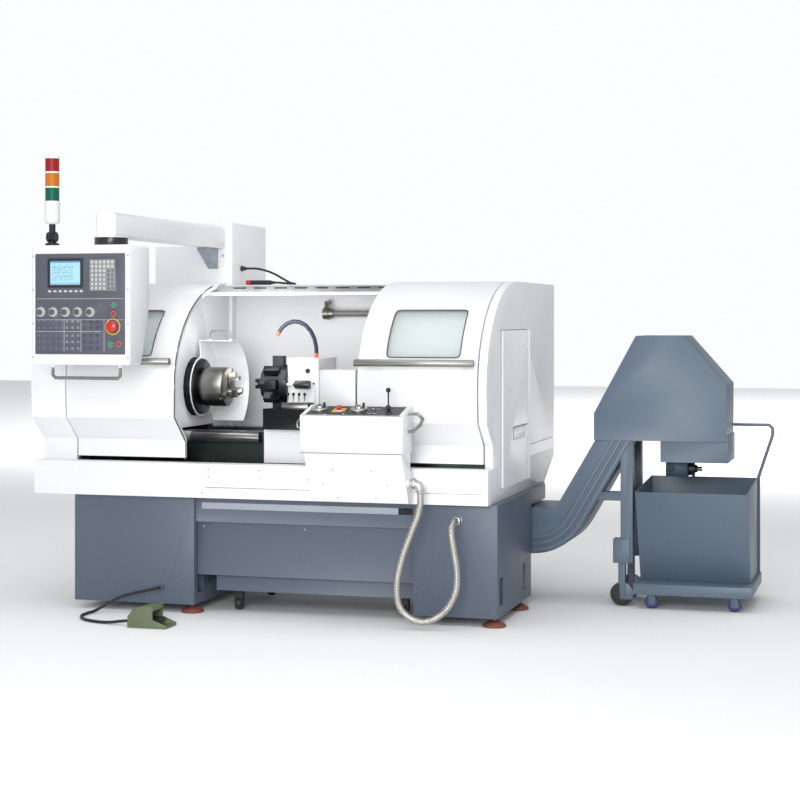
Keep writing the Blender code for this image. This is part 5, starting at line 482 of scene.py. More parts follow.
dress("chip_pan left_cover right_cover left_door right_door side_access_door", white, 0.0012)
dress("rear_splash_guard electrical_cabinet saddle", white, 0.0015)
dress("control_desk", deskWhite, 0.0015)
dress("pendant_arm", armWhite, 0.0015)
dress("pendant_box", pendantWhite, 0.002)
dress("chuck_guard", guardWhite, 0.002)
dress("pendant_column", columnWhite, 0.0015)
dress("turret_housing", housingWhite, 0.001)
dress("base_frame base_front_panel", blueGrey, 0.002)
dress("coolant_tank", tankGrey, 0.001)
dress("tailstock", tailGrey, 0.003)
dress("conveyor_trough conveyor_hood cart_frame chip_bin", conveyorGrey, 0.0015)
dress("conveyor_leg", legGrey, 0.001)
dress("headstock cross_slide turret_head conveyor_drum", blackOxide, 0.002)
dress("bed", bedIron, 0.002)
dress("spindle chuck_body tailstock_quill", chuckSteel, 0.0008)
dress("chuck_jaw_1 chuck_jaw_2 chuck_jaw_3", jawSteel, 0.0008)
dress("left_handle right_handle", handleSteel, 0.001)
dress("door_top_rail", aluminium, 0.001)
dress("left_window right_window", glass)
dress("pendant_panel", slate, 0.0008)
dress("desk_stop_button pendant_stop_button", stopRed, 0.0008)
dress("jog_lever foot_pedal foot_cord", black)
dress("level_foot_1 level_foot_2 level_foot_3 level_foot_4", padBrown, 0.001)
dress("foot_switch", olive, 0.0015)
dress("cart_wheel_1 cart_wheel_2 cart_wheel_3 cart_wheel_4", wheelBlue, 0.0008)
dress("coolant_nozzle", beads)
dress("apron_hose", hoseBraid)
dress("tower_light", towerLens("towerLens"))
for side in ("left", "right"):
    low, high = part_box("desk_wheel_" + side)
    dress("desk_wheel_" + side, dial(side + "DialSteel", (low + high) / 2), 0.001)
print("solids dressed")


# A mesh in the machine's own metres, moved into the frame when it is finished
class Shape:
    def __init__(self, name):
        self.name = name
        self.mesh = bmesh.new()

    def cube(self, size, place):
        made = bmesh.ops.create_cube(self.mesh, size=1)
        bmesh.ops.scale(self.mesh, vec=size, verts=made["verts"])
        bmesh.ops.transform(self.mesh, matrix=place, verts=made["verts"])

    def box(self, low, high):
        low, high = Vector(low), Vector(high)
        self.cube(high - low, Matrix.Translation((low + high) / 2))
        return self

    def turnedBox(self, centre, size, turn):
        self.cube(size, Matrix.Translation(centre) @ turn.to_4x4())

    def rod(self, start, end, radius, tip=None, sides=24):
        start, end = Vector(start), Vector(end)
        along = end - start
        tip = radius if tip is None else tip
        made = bmesh.ops.create_cone(self.mesh, cap_ends=True, segments=sides, radius1=radius, radius2=tip,
                                     depth=along.length)
        place = Matrix.Translation((start + end) / 2) @ along.to_track_quat("Z", "Y").to_matrix().to_4x4()
        bmesh.ops.transform(self.mesh, matrix=place, verts=made["verts"])

    def ball(self, centre, radius, sides=20):
        made = bmesh.ops.create_uvsphere(self.mesh, u_segments=sides, v_segments=sides // 2, radius=radius)
        bmesh.ops.translate(self.mesh, vec=Vector(centre), verts=made["verts"])

    def skin(self, rings):
        for first, second in zip(rings, rings[1:]):
            for step in range(len(first)):
                after = (step + 1) % len(first)
                self.mesh.faces.new((first[step], first[after], second[after], second[step]))

    # A round tube along points, with every second ring raised where it is ribbed
    def tube(self, points, radius, sides=12, ribs=0.0):
        points = [Vector(point) for point in points]
        rings = []
        side = Vector((0, 0, 1)).cross(points[1] - points[0])
        if side.length < 1e-5:
            side = Vector((1, 0, 0))
        for number, point in enumerate(points):
            along = points[min(number + 1, len(points) - 1)] - points[max(number - 1, 0)]
            up = side.cross(along).normalized() * -1
            side = along.cross(up).normalized() * -1
            size = radius + (ribs if number % 2 else 0)
            ring = []
            for step in range(sides):
                angle = 2 * math.pi * step / sides
                reach = side * math.cos(angle) + up * math.sin(angle)
                ring.append(self.mesh.verts.new(point + reach * size))
            rings.append(ring)
        self.skin(rings)
        self.mesh.faces.new(rings[0][::-1])
        self.mesh.faces.new(rings[-1])

    # A round or square plate with a round hole through it
    def holed(self, centre, turn, outer, inner, height, square=False, sides=32):
        rings = []
        for size, up in ((outer, -0.5), (outer, 0.5), (inner, 0.5), (inner, -0.5)):
            ring = []
            for step in range(sides):
                angle = 2 * math.pi * step / sides
                across, along = math.cos(angle), math.sin(angle)
                reach = size / max(abs(across), abs(along)) if square and size == outer else size
                spot = Vector((across * reach, along * reach, up * height))
                ring.append(self.mesh.verts.new(centre + turn @ spot))
            rings.append(ring)
        self.skin(rings + rings[:1])

    def finish(self, body, material, bevel=0.0, slot=None):
        bmesh.ops.translate(self.mesh, vec=origin, verts=self.mesh.verts)
        bmesh.ops.recalc_face_normals(self.mesh, faces=self.mesh.faces)
        data = bpy.data.meshes.new(self.name)
        self.mesh.to_mesh(data)
        self.mesh.free()
        data.materials.append(material)
        piece = addObject(self.name, data)
        if bevel:
            roundEdges(piece, bevel)
        shadeSmooth(piece)
        if body:
            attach(piece, body)
        return piece


def boxes(name, spans, body, material, bevel=0.0):
    shape = Shape(name)
    for low, high in spans:
        shape.box(low, high)
    shape.finish(body, material, bevel)


def rods(name, spans, body, material, bevel=0.0):
    shape = Shape(name)
    for span in spans:
        shape.rod(*span)
    shape.finish(body, material, bevel)


# Geometry nodes that set a head on each point, turned to the point's facing
def repeatGroup():
    group = bpy.data.node_groups.new("headsOnPoints", "GeometryNodeTree")
    face = group.interface
    face.new_socket("Geometry", in_out="INPUT", socket_type="NodeSocketGeometry")
    for label, kind in (("Head", "NodeSocketObject"), ("Finish", "NodeSocketMaterial")):
        face.new_socket(label, in_out="INPUT", socket_type=kind)
    face.new_socket("Geometry", in_out="OUTPUT", socket_type="NodeSocketGeometry")
    new, link = group.nodes.new, group.links.new
    source = new("NodeGroupInput")
    head = new("GeometryNodeObjectInfo")
    facing = new("GeometryNodeInputNamedAttribute")
    facing.data_type = "FLOAT_VECTOR"
    facing.inputs["Name"].default_value = "facing"
    turn = new("FunctionNodeAlignRotationToVector")
    turn.axis = "Z"
    spread = new("GeometryNodeInstanceOnPoints")
    real = new("GeometryNodeRealizeInstances")
    finish = new("GeometryNodeSetMaterial")
    result = new("NodeGroupOutput")
    link(source.outputs["Geometry"], spread.inputs["Points"])
    link(source.outputs["Head"], head.inputs["Object"])
    link(head.outputs["Geometry"], spread.inputs["Instance"])
    link(facing.outputs["Attribute"], turn.inputs["Vector"])
    link(turn.outputs["Rotation"], spread.inputs["Rotation"])
    link(spread.outputs[0], real.inputs[0])
    link(real.outputs[0], finish.inputs["Geometry"])
    link(source.outputs["Finish"], finish.inputs["Material"])
    link(finish.outputs[0], result.inputs[0])
    return group


repeats = repeatGroup()


def repeat(name, places, head, material, body):
    data = bpy.data.meshes.new(name + "Points")
    data.from_pydata([tuple(place) for place, _ in places], [], [])
    facing = data.attributes.new("facing", "FLOAT_VECTOR", "POINT")
    for number, (_, normal) in enumerate(places):
        facing.data[number].vector = normal
    cloud = addObject(name + "Points", data)
    spread = cloud.modifiers.new("spread", "NODES")
    spread.node_group = repeats
    values = {"Head": head, "Finish": material}
    for item in repeats.interface.items_tree:
        if item.in_out == "INPUT" and item.name in values:
            spread[item.identifier] = values[item.name]
    bpy.context.view_layer.update()
    graph = bpy.context.evaluated_depsgraph_get()
    mesh = bpy.data.meshes.new_from_object(cloud.evaluated_get(graph))
    bpy.data.objects.remove(cloud)
    mesh.materials.clear()
    mesh.materials.append(material)
    piece = addObject(name, mesh)
    shadeSmooth(piece)
    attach(piece, body)


# The shape that a repeat copies stays out of the picture
def makeHead(name, build):
    mesh = bmesh.new()
    build(mesh)
    data = bpy.data.meshes.new(name)
    mesh.to_mesh(data)
    mesh.free()
    head = addObject(name, data)
    head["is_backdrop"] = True
    head.hide_render = True
    return head


def turnedHead(radius, height, socketRadius, sunk=0.0015):
    def build(mesh):
        profile = [(0, -sunk), (radius, -sunk), (radius, height * 0.7), (radius * 0.86, height),
                   (socketRadius, height), (socketRadius * 0.9, height * 0.4), (0, height * 0.4)]
        points = [mesh.verts.new((across, 0, up)) for across, up in profile]
        edges = [mesh.edges.new(pair) for pair in zip(points, points[1:])]
        bmesh.ops.spin(mesh, geom=points + edges, axis=(0, 0, 1), cent=(0, 0, 0), steps=12, angle=2 * math.pi)
        bmesh.ops.remove_doubles(mesh, verts=mesh.verts, dist=0.00001)
        bmesh.ops.recalc_face_normals(mesh, faces=mesh.faces)
    return build


def keyHead(width, depth, height):
    def build(mesh):
        bmesh.ops.create_cube(mesh, size=1)
        bmesh.ops.scale(mesh, vec=(width, depth, height * 2), verts=mesh.verts)
        bmesh.ops.bevel(mesh, geom=mesh.edges[:], offset=min(width, depth) * 0.14, segments=1, affect="EDGES")
    return build


smallScrew = makeHead("smallScrewHead", turnedHead(0.0042, 0.0022, 0.0018))
bigScrew = makeHead("bigScrewHead", turnedHead(0.0075, 0.0055, 0.0034))
softKey = makeHead("softKeyHead", keyHead(0.017, 0.010, 0.0012))
squareKey = makeHead("squareKeyHead", keyHead(0.0125, 0.0125, 0.0012))
padKey = makeHead("padKeyHead", keyHead(0.0135, 0.0155, 0.0012))
dot = makeHead("dotHead", keyHead(0.0022, 0.0022, 0.0005))
front = Vector((0, -1, 0))  # the ways that screws and keys face
rearward = Vector((0, 1, 0))
leftward = Vector((-1, 0, 0))
rightward = Vector((1, 0, 0))
print("heads made")

# Pendant panel: the places of keys and buttons are read on a plain panel 0.48 m wide and 0.499 m tall
panel = {"left": 0.217, "right": 0.695, "bottom": 1.315, "top": 1.8057, "face": -0.4053,
         "plainLeft": 0.18, "plainBottom": 1.305, "plainWide": 0.48, "plainTall": 0.499}
screen = {"left": 0.2995, "right": 0.4605, "bottom": 1.6535, "top": 1.7695, "face": -0.4078, "back": -0.4072}
bezel = {"left": 0.2855, "right": 0.4745, "bottom": 1.6395, "top": 1.7832, "face": -0.4099, "back": -0.4094}
softKeys = {"left": 0.2955, "bottom": 1.6225, "face": -0.4056, "columns": 7, "pitch": 0.0282}
keypad = {"left": 0.5235, "bottom": 1.6365, "face": -0.4074, "columns": 6, "rows": 7,
          "pitch": 0.0215, "rise": 0.0212}
edgeScrews = {"left": 0.203, "bottom": 1.30, "face": -0.4003, "columns": 2, "rows": 4,
              "pitch": 0.506, "rise": 0.165}
knobs = {"left": 0.247, "height": 1.5207, "count": 5, "pitch": 0.066, "skirt": 0.0235, "cap": 0.0205,
         "tip": 0.0185, "grip": 0.0036, "gripReach": 0.0165, "mark": 0.0006,
         "ticks": 11, "tickRadius": 0.0275, "firstTick": -135, "turn": 27}
keyHeights = (1.468, 1.437, 1.398, 1.366, 1.334)
keyBlocks = (("pendantKeysLeft", keyDark, 0.200, 5, 0.0315),  # name, material, first key, count and pitch
             ("pendantKeysMiddle", keyDim, 0.352, 3, 0.0300),
             ("pendantKeysRight", keyBlue, 0.446, 3, 0.0340))
buttonRadius = 0.0115
buttons = (("startButton", 0.604, 1.548, buttonGreen), ("haltButton", 0.601, 1.505, stopRed),
           ("cycleButton", 0.588, 1.354, buttonGreen), ("holdButton", 0.629, 1.356, stopRed))
stopRing = {"middle": (0.632, -0.40575, 1.4497), "outer": 0.040, "inner": 0.0354, "thick": 0.0011}


def onPanel(across, height):
    wide, tall = panel["right"] - panel["left"], panel["top"] - panel["bottom"]
    x = panel["left"] + (across - panel["plainLeft"]) * wide / panel["plainWide"]
    z = panel["bottom"] + (height - panel["plainBottom"]) * tall / panel["plainTall"]
    return Vector((x, panel["face"], z))


def frontGrid(left, bottom, face, columns, pitch, rows=1, rise=0.0):
    return [(at(left + pitch * column, face, bottom + rise * row), front)
            for row in range(rows) for column in range(columns)]


glassLow = Vector((screen["left"], screen["face"], screen["bottom"]))
glassHigh = Vector((screen["right"], screen["back"], screen["top"]))
glow = screenGlow("screenGlow", glassLow + origin, glassHigh + origin)
Shape("pendantScreen").box(glassLow, glassHigh).finish("pendant", glow)
rim = Shape("pendantBezelFrame")
for left, right, bottom, top in ((bezel["left"], bezel["right"], bezel["bottom"], screen["bottom"]),
                                 (bezel["left"], bezel["right"], screen["top"], bezel["top"]),
                                 (bezel["left"], screen["left"], screen["bottom"], screen["top"]),
                                 (screen["right"], bezel["right"], screen["bottom"], screen["top"])):
    rim.box((left, bezel["face"], bottom), (right, bezel["back"], top))
rim.finish("pendant", bezelBlack, slot="black_plastic")
repeat("pendantSoftKeys", frontGrid(**softKeys), softKey, keyGrey, "pendant")
boxes("pendantKeypadBoard", [((0.5095, -0.4079, 1.6245), (0.6450, -0.4072, 1.7760))], "pendant", keyBoard,
      0.0003)
darkFrom, lightFrom = 4, 31  # keys from this column on are dark, up to the key with this number
for name, material, wanted in (("pendantKeypadGrey", keyGrey, True), ("pendantKeypadDark", keyDark, False)):
    places = [place for number, place in enumerate(frontGrid(**keypad))
              if (number % keypad["columns"] < darkFrom or number >= lightFrom) == wanted]
    repeat(name, places, padKey, material, "pendant")

caps = Shape("pendantKnobCaps")
skirts = Shape("pendantKnobSkirts")
marks = Shape("pendantKnobMarks")
ticks = []
for number in range(knobs["count"]):
    # skirt, cap, grip and mark stand one on another, outwards from the panel
    x, z = knobs["left"] + knobs["pitch"] * number, knobs["height"]
    skirts.rod((x, -0.4052, z), (x, -0.4068, z), knobs["skirt"], knobs["skirt"] - 0.001, 32)
    caps.rod((x, -0.4066, z), (x, -0.4160, z), knobs["cap"], knobs["tip"], 32)
    caps.box((x - knobs["grip"], -0.4185, z - knobs["gripReach"]),
             (x + knobs["grip"], -0.4150, z + knobs["gripReach"]))
    marks.box((x - knobs["mark"], -0.4189, z + 0.005), (x + knobs["mark"], -0.4183, z + 0.0155))
    for step in range(knobs["ticks"]):
        angle = math.radians(knobs["firstTick"] + knobs["turn"] * step)
        ticks.append((at(x + knobs["tickRadius"] * math.sin(angle), softKeys["face"],
                         z + knobs["tickRadius"] * math.cos(angle)), front))
caps.finish("pendant", ivory, 0.0008)
skirts.finish("pendant", keyGrey)
marks.finish("pendant", shadow)
repeat("pendantKnobTicks", ticks, dot, labelWhite, "pendant")

# Fine lines that part the panel: level ones, then upright ones
lines = [((left, height), (right, height + 0.0014))
         for left, right, height in ((0.225, 0.687, 1.585), (0.225, 0.687, 1.4825), (0.225, 0.575, 1.425))]
lines += [((across, 1.328), (across + 0.0014, 1.48)) for across in (0.372, 0.462, 0.585)]
lines = [((low[0], -0.4058, low[1]), (high[0], -0.4052, high[1])) for low, high in lines]
boxes("pendantDividers", lines, "pendant", labelWhite)
for name, material, start, count, pitch in keyBlocks:
    places = [(onPanel(start + pitch * number, height) + origin, front)
              for height in keyHeights for number in range(count)]
    repeat(name, places, squareKey, material, "pendant")
for name, across, height, material in buttons:
    centre = onPanel(across, height)
    ring = (centre, centre + front * 0.004, buttonRadius + 0.0035, buttonRadius + 0.0025, 32)
    cap = (centre + front * 0.0035, centre + front * 0.0095, buttonRadius, buttonRadius * 0.9, 32)
    rods(name + "Ring", [ring], "pendant", steel)
    rods(name + "Cap", [cap], "pendant", material)
ring = Shape("pendantStopRing")
ring.holed(Vector(stopRing["middle"]), Matrix.Rotation(math.pi / 2, 3, "X"), stopRing["outer"],
           stopRing["inner"], stopRing["thick"])
ring.finish("pendant", yellow)
repeat("pendantEdgeScrews", frontGrid(**edgeScrews), smallScrew, steel, "pendant")
print("pendant detailed")

# Control desk: its deck slopes up from the front edge, and shares are of that depth
desk = {"frontEdge": -0.22, "deep": 0.165, "frontTop": 1.025, "backTop": 1.067,
        "dials": {"left": 1.597, "right": 1.795}, "dialShare": 0.52, "dialMarks": 24, "markRadius": 0.0465,
        "scaleRadius": 0.050, "gripOffset": 0.026, "stop": 1.695, "stopPlate": 0.031, "stopHole": 0.0172,
        "switches": ((1.733, 0.22), (1.858, 0.30), (1.885, 0.30), (1.858, 0.72), (1.885, 0.72),
                     (1.645, 0.15)),
        "deckParts": ((1.608, 0.50, 0.122, 0.142), (1.868, 0.50, 0.294, 0.142),
                      (1.695, 0.225, 0.052, 0.048), (1.695, 0.795, 0.052, 0.041)), "deckThick": 0.00026}
apron = {"top": 0.829, "tall": 0.229, "topEdge": -0.205, "lean": 0.120,
         "screws": ((1.673, 0.762), (1.867, 0.762), (1.612, 0.69), (1.936, 0.69), (1.677, 0.622),
                    (1.870, 0.622))}
tilt = math.atan((desk["backTop"] - desk["frontTop"]) / desk["deep"])
deckTurn = Matrix.Rotation(tilt, 3, "X")
deckUp = deckTurn @ Vector((0, 0, 1))


def onDeck(across, share, high=0.0):
    deep = desk["deep"] * share
    place = Vector((across, desk["frontEdge"] + deep, desk["frontTop"] + deep * math.tan(tilt)))
    return place + deckUp * high


def onApron(across, height):
    return at(across, apron["topEdge"] + (apron["top"] - height) * apron["lean"] / apron["tall"], height)


stopPlate = Shape("deskStopPlate")
stopPlate.holed(onDeck(desk["stop"], desk["dialShare"], 0.0008), deckTurn, desk["stopPlate"],
                desk["stopHole"], 0.0012, square=True)
stopPlate.finish("carriage", yellow, 0.0004)
scales = Shape("deskDialScales")
dialMarks = []
for across in desk["dials"].values():
    share = desk["dialShare"]
    scales.rod(onDeck(across, share, -0.001), onDeck(across, share, 0.0002), desk["scaleRadius"], sides=40)
    for step in range(desk["dialMarks"]):
        angle = 2 * math.pi * step / desk["dialMarks"]
        offset = deckTurn @ Vector((math.cos(angle), math.sin(angle), 0)) * desk["markRadius"]
        dialMarks.append((onDeck(across, share, 0.0002) + offset + origin, deckUp))
scales.finish("carriage", black)
repeat("deskDialMarks", dialMarks, dot, labelWhite, "carriage")
for side, across in desk["dials"].items():
    share = desk["dialShare"]
    held = across + desk["gripOffset"]
    grip = Shape(side + "DialGrip")
    grip.rod(onDeck(held, share, 0.016), onDeck(held, share, 0.034), 0.0045, 0.006, 20)
    grip.ball(onDeck(held, share, 0.034), 0.0065, 16)
    grip.finish("desk_wheel_" + side, black)
    rods(side + "DialHub", [(onDeck(across, share, 0.0235), onDeck(across, share, 0.0262), 0.010, 0.008)],
         "desk_wheel_" + side, bezelBlack)
switches = Shape("deskSwitches")
switchCaps = Shape("deskSwitchCaps")
for across, share in desk["switches"]:
    switches.rod(onDeck(across, share, -0.001), onDeck(across, share, 0.003), 0.010, 0.009, 24)
    switchCaps.rod(onDeck(across, share, 0.002), onDeck(across, share, 0.009), 0.0065, 0.0055, 20)
switches.finish("carriage", steel)
switchCaps.finish("carriage", black)
lip = Shape("deskRubberEdge")
lip.turnedBox(onDeck(1.781, 0.02, 0.0006), (0.500, 0.004, 0.001), deckTurn)
lip.finish("carriage", shadow)
apronNormal = Vector((0, -apron["tall"], -apron["lean"])).normalized()
apronScrews = [(onApron(across, height), apronNormal) for across, height in apron["screws"]]
repeat("apronScrews", apronScrews, smallScrew, steel, "carriage")
boxes("deskSeam", [((1.526, -0.2206, 0.8445), (2.036, -0.2200, 0.8465))], "carriage", shadow)
rods("elbowNut", [((2.092, -0.1, 0.667), (2.092, -0.1, 0.6556), 0.0255, None, 6),
                  ((2.055, -0.1, 0.700), (2.066, -0.1, 0.700), 0.0265, None, 6)], "carriage", steel, 0.0006)
print("desk detailed")

# Screws, strip and seams on the pan and base, and the desk's black deck
panScrews = [(across, -0.004, height) for across in (0.965, 1.235, 1.49) for height in (0.735, 0.695)]
panScrews += [(0.93, 0, 0.615), (1.90, 0, 0.615)]
lowerScrews = [(across, 0.10, 0.437) for across in (0.90, 1.44, 1.98)]
columnScrews = [(0.605, 1.10, height) for height in (1.99, 1.925, 1.845)]
for name, spots, head in (("panScrews", panScrews, smallScrew), ("frontPanelScrews", lowerScrews, smallScrew),
                          ("columnScrews", columnScrews, bigScrew)):
    repeat(name, [(at(*spot), front) for spot in spots], head, steel, "machine")
boxes("baseLightStrip", [((0.895, 0.0785, 0.528), (1.93, 0.08, 0.56))], "machine", stripGrey, 0.0005)
boxes("baseCableGap", [((1.932, 0.0785, 0.528), (2.008, 0.08, 0.56))], "machine", shadow)
boxes("panSeams", [((0.95, -0.0044, 0.6435), (1.50, -0.0040, 0.6455)),
                   ((2.045, -0.0006, 0.6435), (2.395, 0.0, 0.6455))], "machine", shadow)
deck = Shape("deskDeckPlate")  # its four parts leave the stop button's hole open
for across, share, wide, deep in desk["deckParts"]:
    deck.turnedBox(onDeck(across, share, desk["deckThick"] / 2), (wide, deep, desk["deckThick"]), deckTurn)
deck.finish("carriage", deckBlack)
print("screws, seams and deck set")

# Covers and doors: one curve for both, with what lies on it
cover = {"y": 0.66, "z": 1.15, "deep": 0.695, "rise": 0.53,
         "foot": ((0.109, 0.772), (0.109, 0.866), (-0.021, 0.984)),
         "stripFrom": 0.99, "stripPitch": 0.0268, "stripPoints": 26, "stripRadius": 0.0036}
doors = {"left": {"window": (0.288, 0.655), "edge": 0.7925, "strip": gasket},
         "right": {"window": (1.895, 2.262), "edge": 1.7575, "strip": white}}
windows = {"bottom": 1.301, "top": 1.531, "corner": 0.022, "proud": 0.0004, "bead": 0.0030}
access = {"latches": (0.74, 1.34),
          "screws": ((0.42, 1.13), (0.72, 1.16), (0.52, 1.0), (0.84, 1.02), (0.31, 0.70), (0.31, 1.38)),
          "seams": (((2.4, 0.277, 0.647), (2.4012, 0.2795, 1.433)),  # front, rear, top, waist and foot
                    ((2.4, 0.8905, 0.647), (2.4012, 0.893, 1.433)),
                    ((2.4, 0.277, 1.4305), (2.4012, 0.893, 1.433)),
                    ((2.4, 0.90, 0.82), (2.4009, 1.60, 0.8225)),
                    ((2.4, 0.277, 0.647), (2.4012, 0.893, 0.6495)))}


# The front of the curved covers and doors at a height
def coverY(height, proud=0.0):
    climb = max(height - cover["z"], 0) / cover["rise"]
    return cover["y"] - cover["deep"] * math.sqrt(max(1 - climb * climb, 0)) - proud


# A rounded rectangle laid on the curved door, as points to follow
def curvedOutline(left, right):
    bottom, top, corner, proud = (windows[key] for key in ("bottom", "top", "corner", "proud"))
    points = []
    for x, z, start in ((right - corner, top - corner, 0), (left + corner, top - corner, 90),
                        (left + corner, bottom + corner, 180), (right - corner, bottom + corner, 270)):
        for step in range(5):
            angle = math.radians(start + 22.5 * step)
            height = z + corner * math.sin(angle)
            points.append(Vector((x + corner * math.cos(angle), coverY(height, proud), height)))
        if start in (0, 180):
            continue
        end = bottom + corner if start == 90 else top - corner
        near = points[-1].z
        for step in range(1, 7):
            height = near + (end - near) * step / 7
            points.append(Vector((points[-1].x, coverY(height, proud), height)))
    return points + [points[0]]


for side, door in doors.items():
    left, right = door["window"]
    rim = Shape(side + "WindowGasket")
    rim.tube(curvedOutline(left - 0.001, right + 0.001), windows["bead"], 8)
    rim.finish(side + "_door", gasket)
    heights = [cover["stripFrom"] + cover["stripPitch"] * number for number in range(cover["stripPoints"])]
    profile = list(cover["foot"]) + [(coverY(height) + 0.004, height) for height in heights]
    edge = Shape(side + "DoorEdgeStrip")
    edge.tube([(door["edge"], deep, height) for deep, height in profile], cover["stripRadius"], 8)
    edge.finish(side + "_door", door["strip"])
    clamps = Shape(side + "HandleFeet")
    for across in (left - 0.04, right + 0.04):
        clamps.rod((across, -0.0352, 1.275), (across, -0.0405, 1.275), 0.018, 0.016)
    clamps.finish(side + "_door", handleSteel)
boxes("accessSeams", access["seams"], "machine", gasket)
latches = Shape("accessLatches")
for height in access["latches"]:
    latches.rod((2.4121, 0.855, height), (2.4150, 0.855, height), 0.011, 0.010)
    latches.box((2.4148, 0.8535, height - 0.008), (2.4158, 0.8565, height + 0.008))
latches.finish("access_door", steel)
boxes("accessScoop", [((2.4119, 0.508, 0.937), (2.4150, 0.842, 0.941)),
                      ((2.4119, 0.508, 0.873), (2.4135, 0.511, 0.939))], "access_door", gasket, 0.0004)
screws = [(at(2.4123, deep, height), rightward) for deep, height in access["screws"]]
repeat("accessScrews", screws, smallScrew, steel, "access_door")
print("covers detailed")

# Rear cabinet, left end and roof
rearDoors = {"bottom": 0.80, "top": 1.64, "wall": 1.642, "seam": 0.0026, "proud": 0.0008,
             "doors": ((0.70, 1.505, 1.455), (1.52, 2.325, 1.57)),  # left, right and latch side
             "latches": (0.95, 1.22, 1.49), "latchRadius": 0.014}
louvre = {"rows": 10, "pitch": 0.019, "starts": (1.36, 0.86), "sides": (-0.09, 0.09), "half": 0.07,
          "outline": ((-0.006, 0), (0.0062, 0), (0.0052, 0.0022), (-0.0022, 0.0058), (-0.0058, 0.0054))}
endPanel = {"low": (0, 0.30, 0.84), "high": (0, 0.92, 1.42)}


# Four narrow strips around a rectangle on a flat wall
def framed(shape, low, high, axis, proud):
    flat = [number for number in range(3) if number != axis]
    for along, across in (flat, flat[::-1]):
        for edge in (low[across], high[across] - rearDoors["seam"]):
            start, end = list(low), list(high)
            start[across], end[across] = edge, edge + rearDoors["seam"]
            start[axis], end[axis] = sorted((low[axis], low[axis] + proud))
            shape.box(start, end)


def louvreHead(mesh):
    outline = louvre["outline"]
    ends = [[mesh.verts.new((side, up, proud)) for up, proud in outline]
            for side in (-louvre["half"], louvre["half"])]
    mesh.faces.new(ends[0])
    mesh.faces.new(ends[1][::-1])
    for step in range(len(outline)):
        after = (step + 1) % len(outline)
        mesh.faces.new((ends[0][step], ends[1][step], ends[1][after], ends[0][after]))
    bmesh.ops.recalc_face_normals(mesh, faces=mesh.faces)


rear = Shape("cabinetSeams")
latches = Shape("cabinetLatches")
louvres = []
wall = rearDoors["wall"]
for left, right, latch in rearDoors["doors"]:
    framed(rear, (left, wall, rearDoors["bottom"]), (right, wall, rearDoors["top"]), 1, rearDoors["proud"])
    for height in rearDoors["latches"]:
        latches.rod((latch, wall, height), (latch, wall + 0.006, height), rearDoors["latchRadius"], 0.013)
        latches.box((latch - 0.002, wall + 0.005, height - 0.010),
                    (latch + 0.002, wall + 0.0075, height + 0.010))
    for row in range(louvre["rows"]):
        for side in louvre["sides"]:
            for start in louvre["starts"]:
                louvres.append((at((left + right) / 2 + side, wall, start + row * louvre["pitch"]), rearward))
rear.finish("machine", gasket)
latches.finish("machine", steel, 0.0006)
repeat("cabinetLouvres", louvres, makeHead("louvreHead", louvreHead), white, "machine")
ends = Shape("leftEndSeams")
framed(ends, endPanel["low"], endPanel["high"], 0, -rearDoors["proud"])
ends.box((-0.0006, 0.95, 0.82), (0, 1.60, 0.8225))
ends.finish("machine", gasket)
boxes("roofSeams", [((0.66, 1.152, 1.68), (2.36, 1.155, 1.6805)),
                    ((1.505, 1.16, 1.68), (1.5075, 1.64, 1.6806))], "machine", gasket)
screws = [(at(0, deep, height), leftward) for deep in (0.325, 0.61, 0.895) for height in (0.865, 1.395)]
screws += [(at(across, wall, height), rearward)
           for across in (0.215, 0.425, 0.635) for height in (0.82, 1.30, 1.78)]
repeat("panelScrews", screws, bigScrew, steel, "machine")
print("rear detailed")

# Small drive under the chute, and the plugs of the turret housing
body = Shape("chuteMotor").box((3.118, 0.985, 0.668), (3.232, 1.165, 0.7497))
body.rod((3.150, 0.9852, 0.708), (3.150, 0.972, 0.708), 0.012, 0.010, 20)
body.finish("machine", motorTeal, 0.004)
rods("chuteMotorEnd", [((3.2322, 1.05, 0.706), (3.262, 1.05, 0.706), 0.036, 0.034, 28),
                       ((3.262, 1.05, 0.706), (3.276, 1.05, 0.706), 0.022, 0.018)], "machine", black)
rods("chuteMotorKnob", [((3.2762, 1.05, 0.706), (3.300, 1.05, 0.706), 0.011, 0.013, 20)], "machine",
     castBrass)
rods("housingPlugs", [((1.365, 0.3598, 1.220), (1.365, 0.3560, 1.220), 0.0135, 0.0125),
                      ((1.398, 0.3598, 1.155), (1.398, 0.3570, 1.155), 0.0055, 0.0050, 20),
                      ((1.275, 0.3598, 1.262), (1.275, 0.3580, 1.262), 0.0040, 0.0040, 16)],
     "cross_slide", black)

# Top rail and the conduit on the rear wall
rail = {"slots": 9, "left": 0.88, "pitch": 0.115, "long": 0.07, "face": 0.5590, "back": 0.5604}
conduit = {"from": 1.258, "height": 1.517, "deep": 1.10, "rings": 76, "pitch": 0.0065, "bend": 0.03,
           "bendSteps": 8, "wall": 1.1505, "radius": 0.0165, "rib": 0.0028}
slots = []
for number in range(rail["slots"]):
    left = rail["left"] + rail["pitch"] * number
    slots.append(((left, rail["face"], 1.6475), (left + rail["long"], rail["back"], 1.6545)))
boxes("railSlots", slots, "machine", shadow)
boxes("railValance", [((0.66, rail["face"], 1.6125), (1.775, rail["back"], 1.6290))], "machine", white)
rods("conduitGland", [((1.205, 1.10, 1.517), (1.238, 1.10, 1.517), 0.032, 0.034, 12),
                      ((1.236, 1.10, 1.517), (1.262, 1.10, 1.517), 0.026, 0.024),
                      ((1.222, 1.10, 1.545), (1.222, 1.10, 1.585), 0.013, None, 6),
                      ((1.222, 1.10, 1.580), (1.222, 1.1505, 1.580), 0.012, None, 20)], "machine", castBrass)
pipe = Shape("conduitPipe")
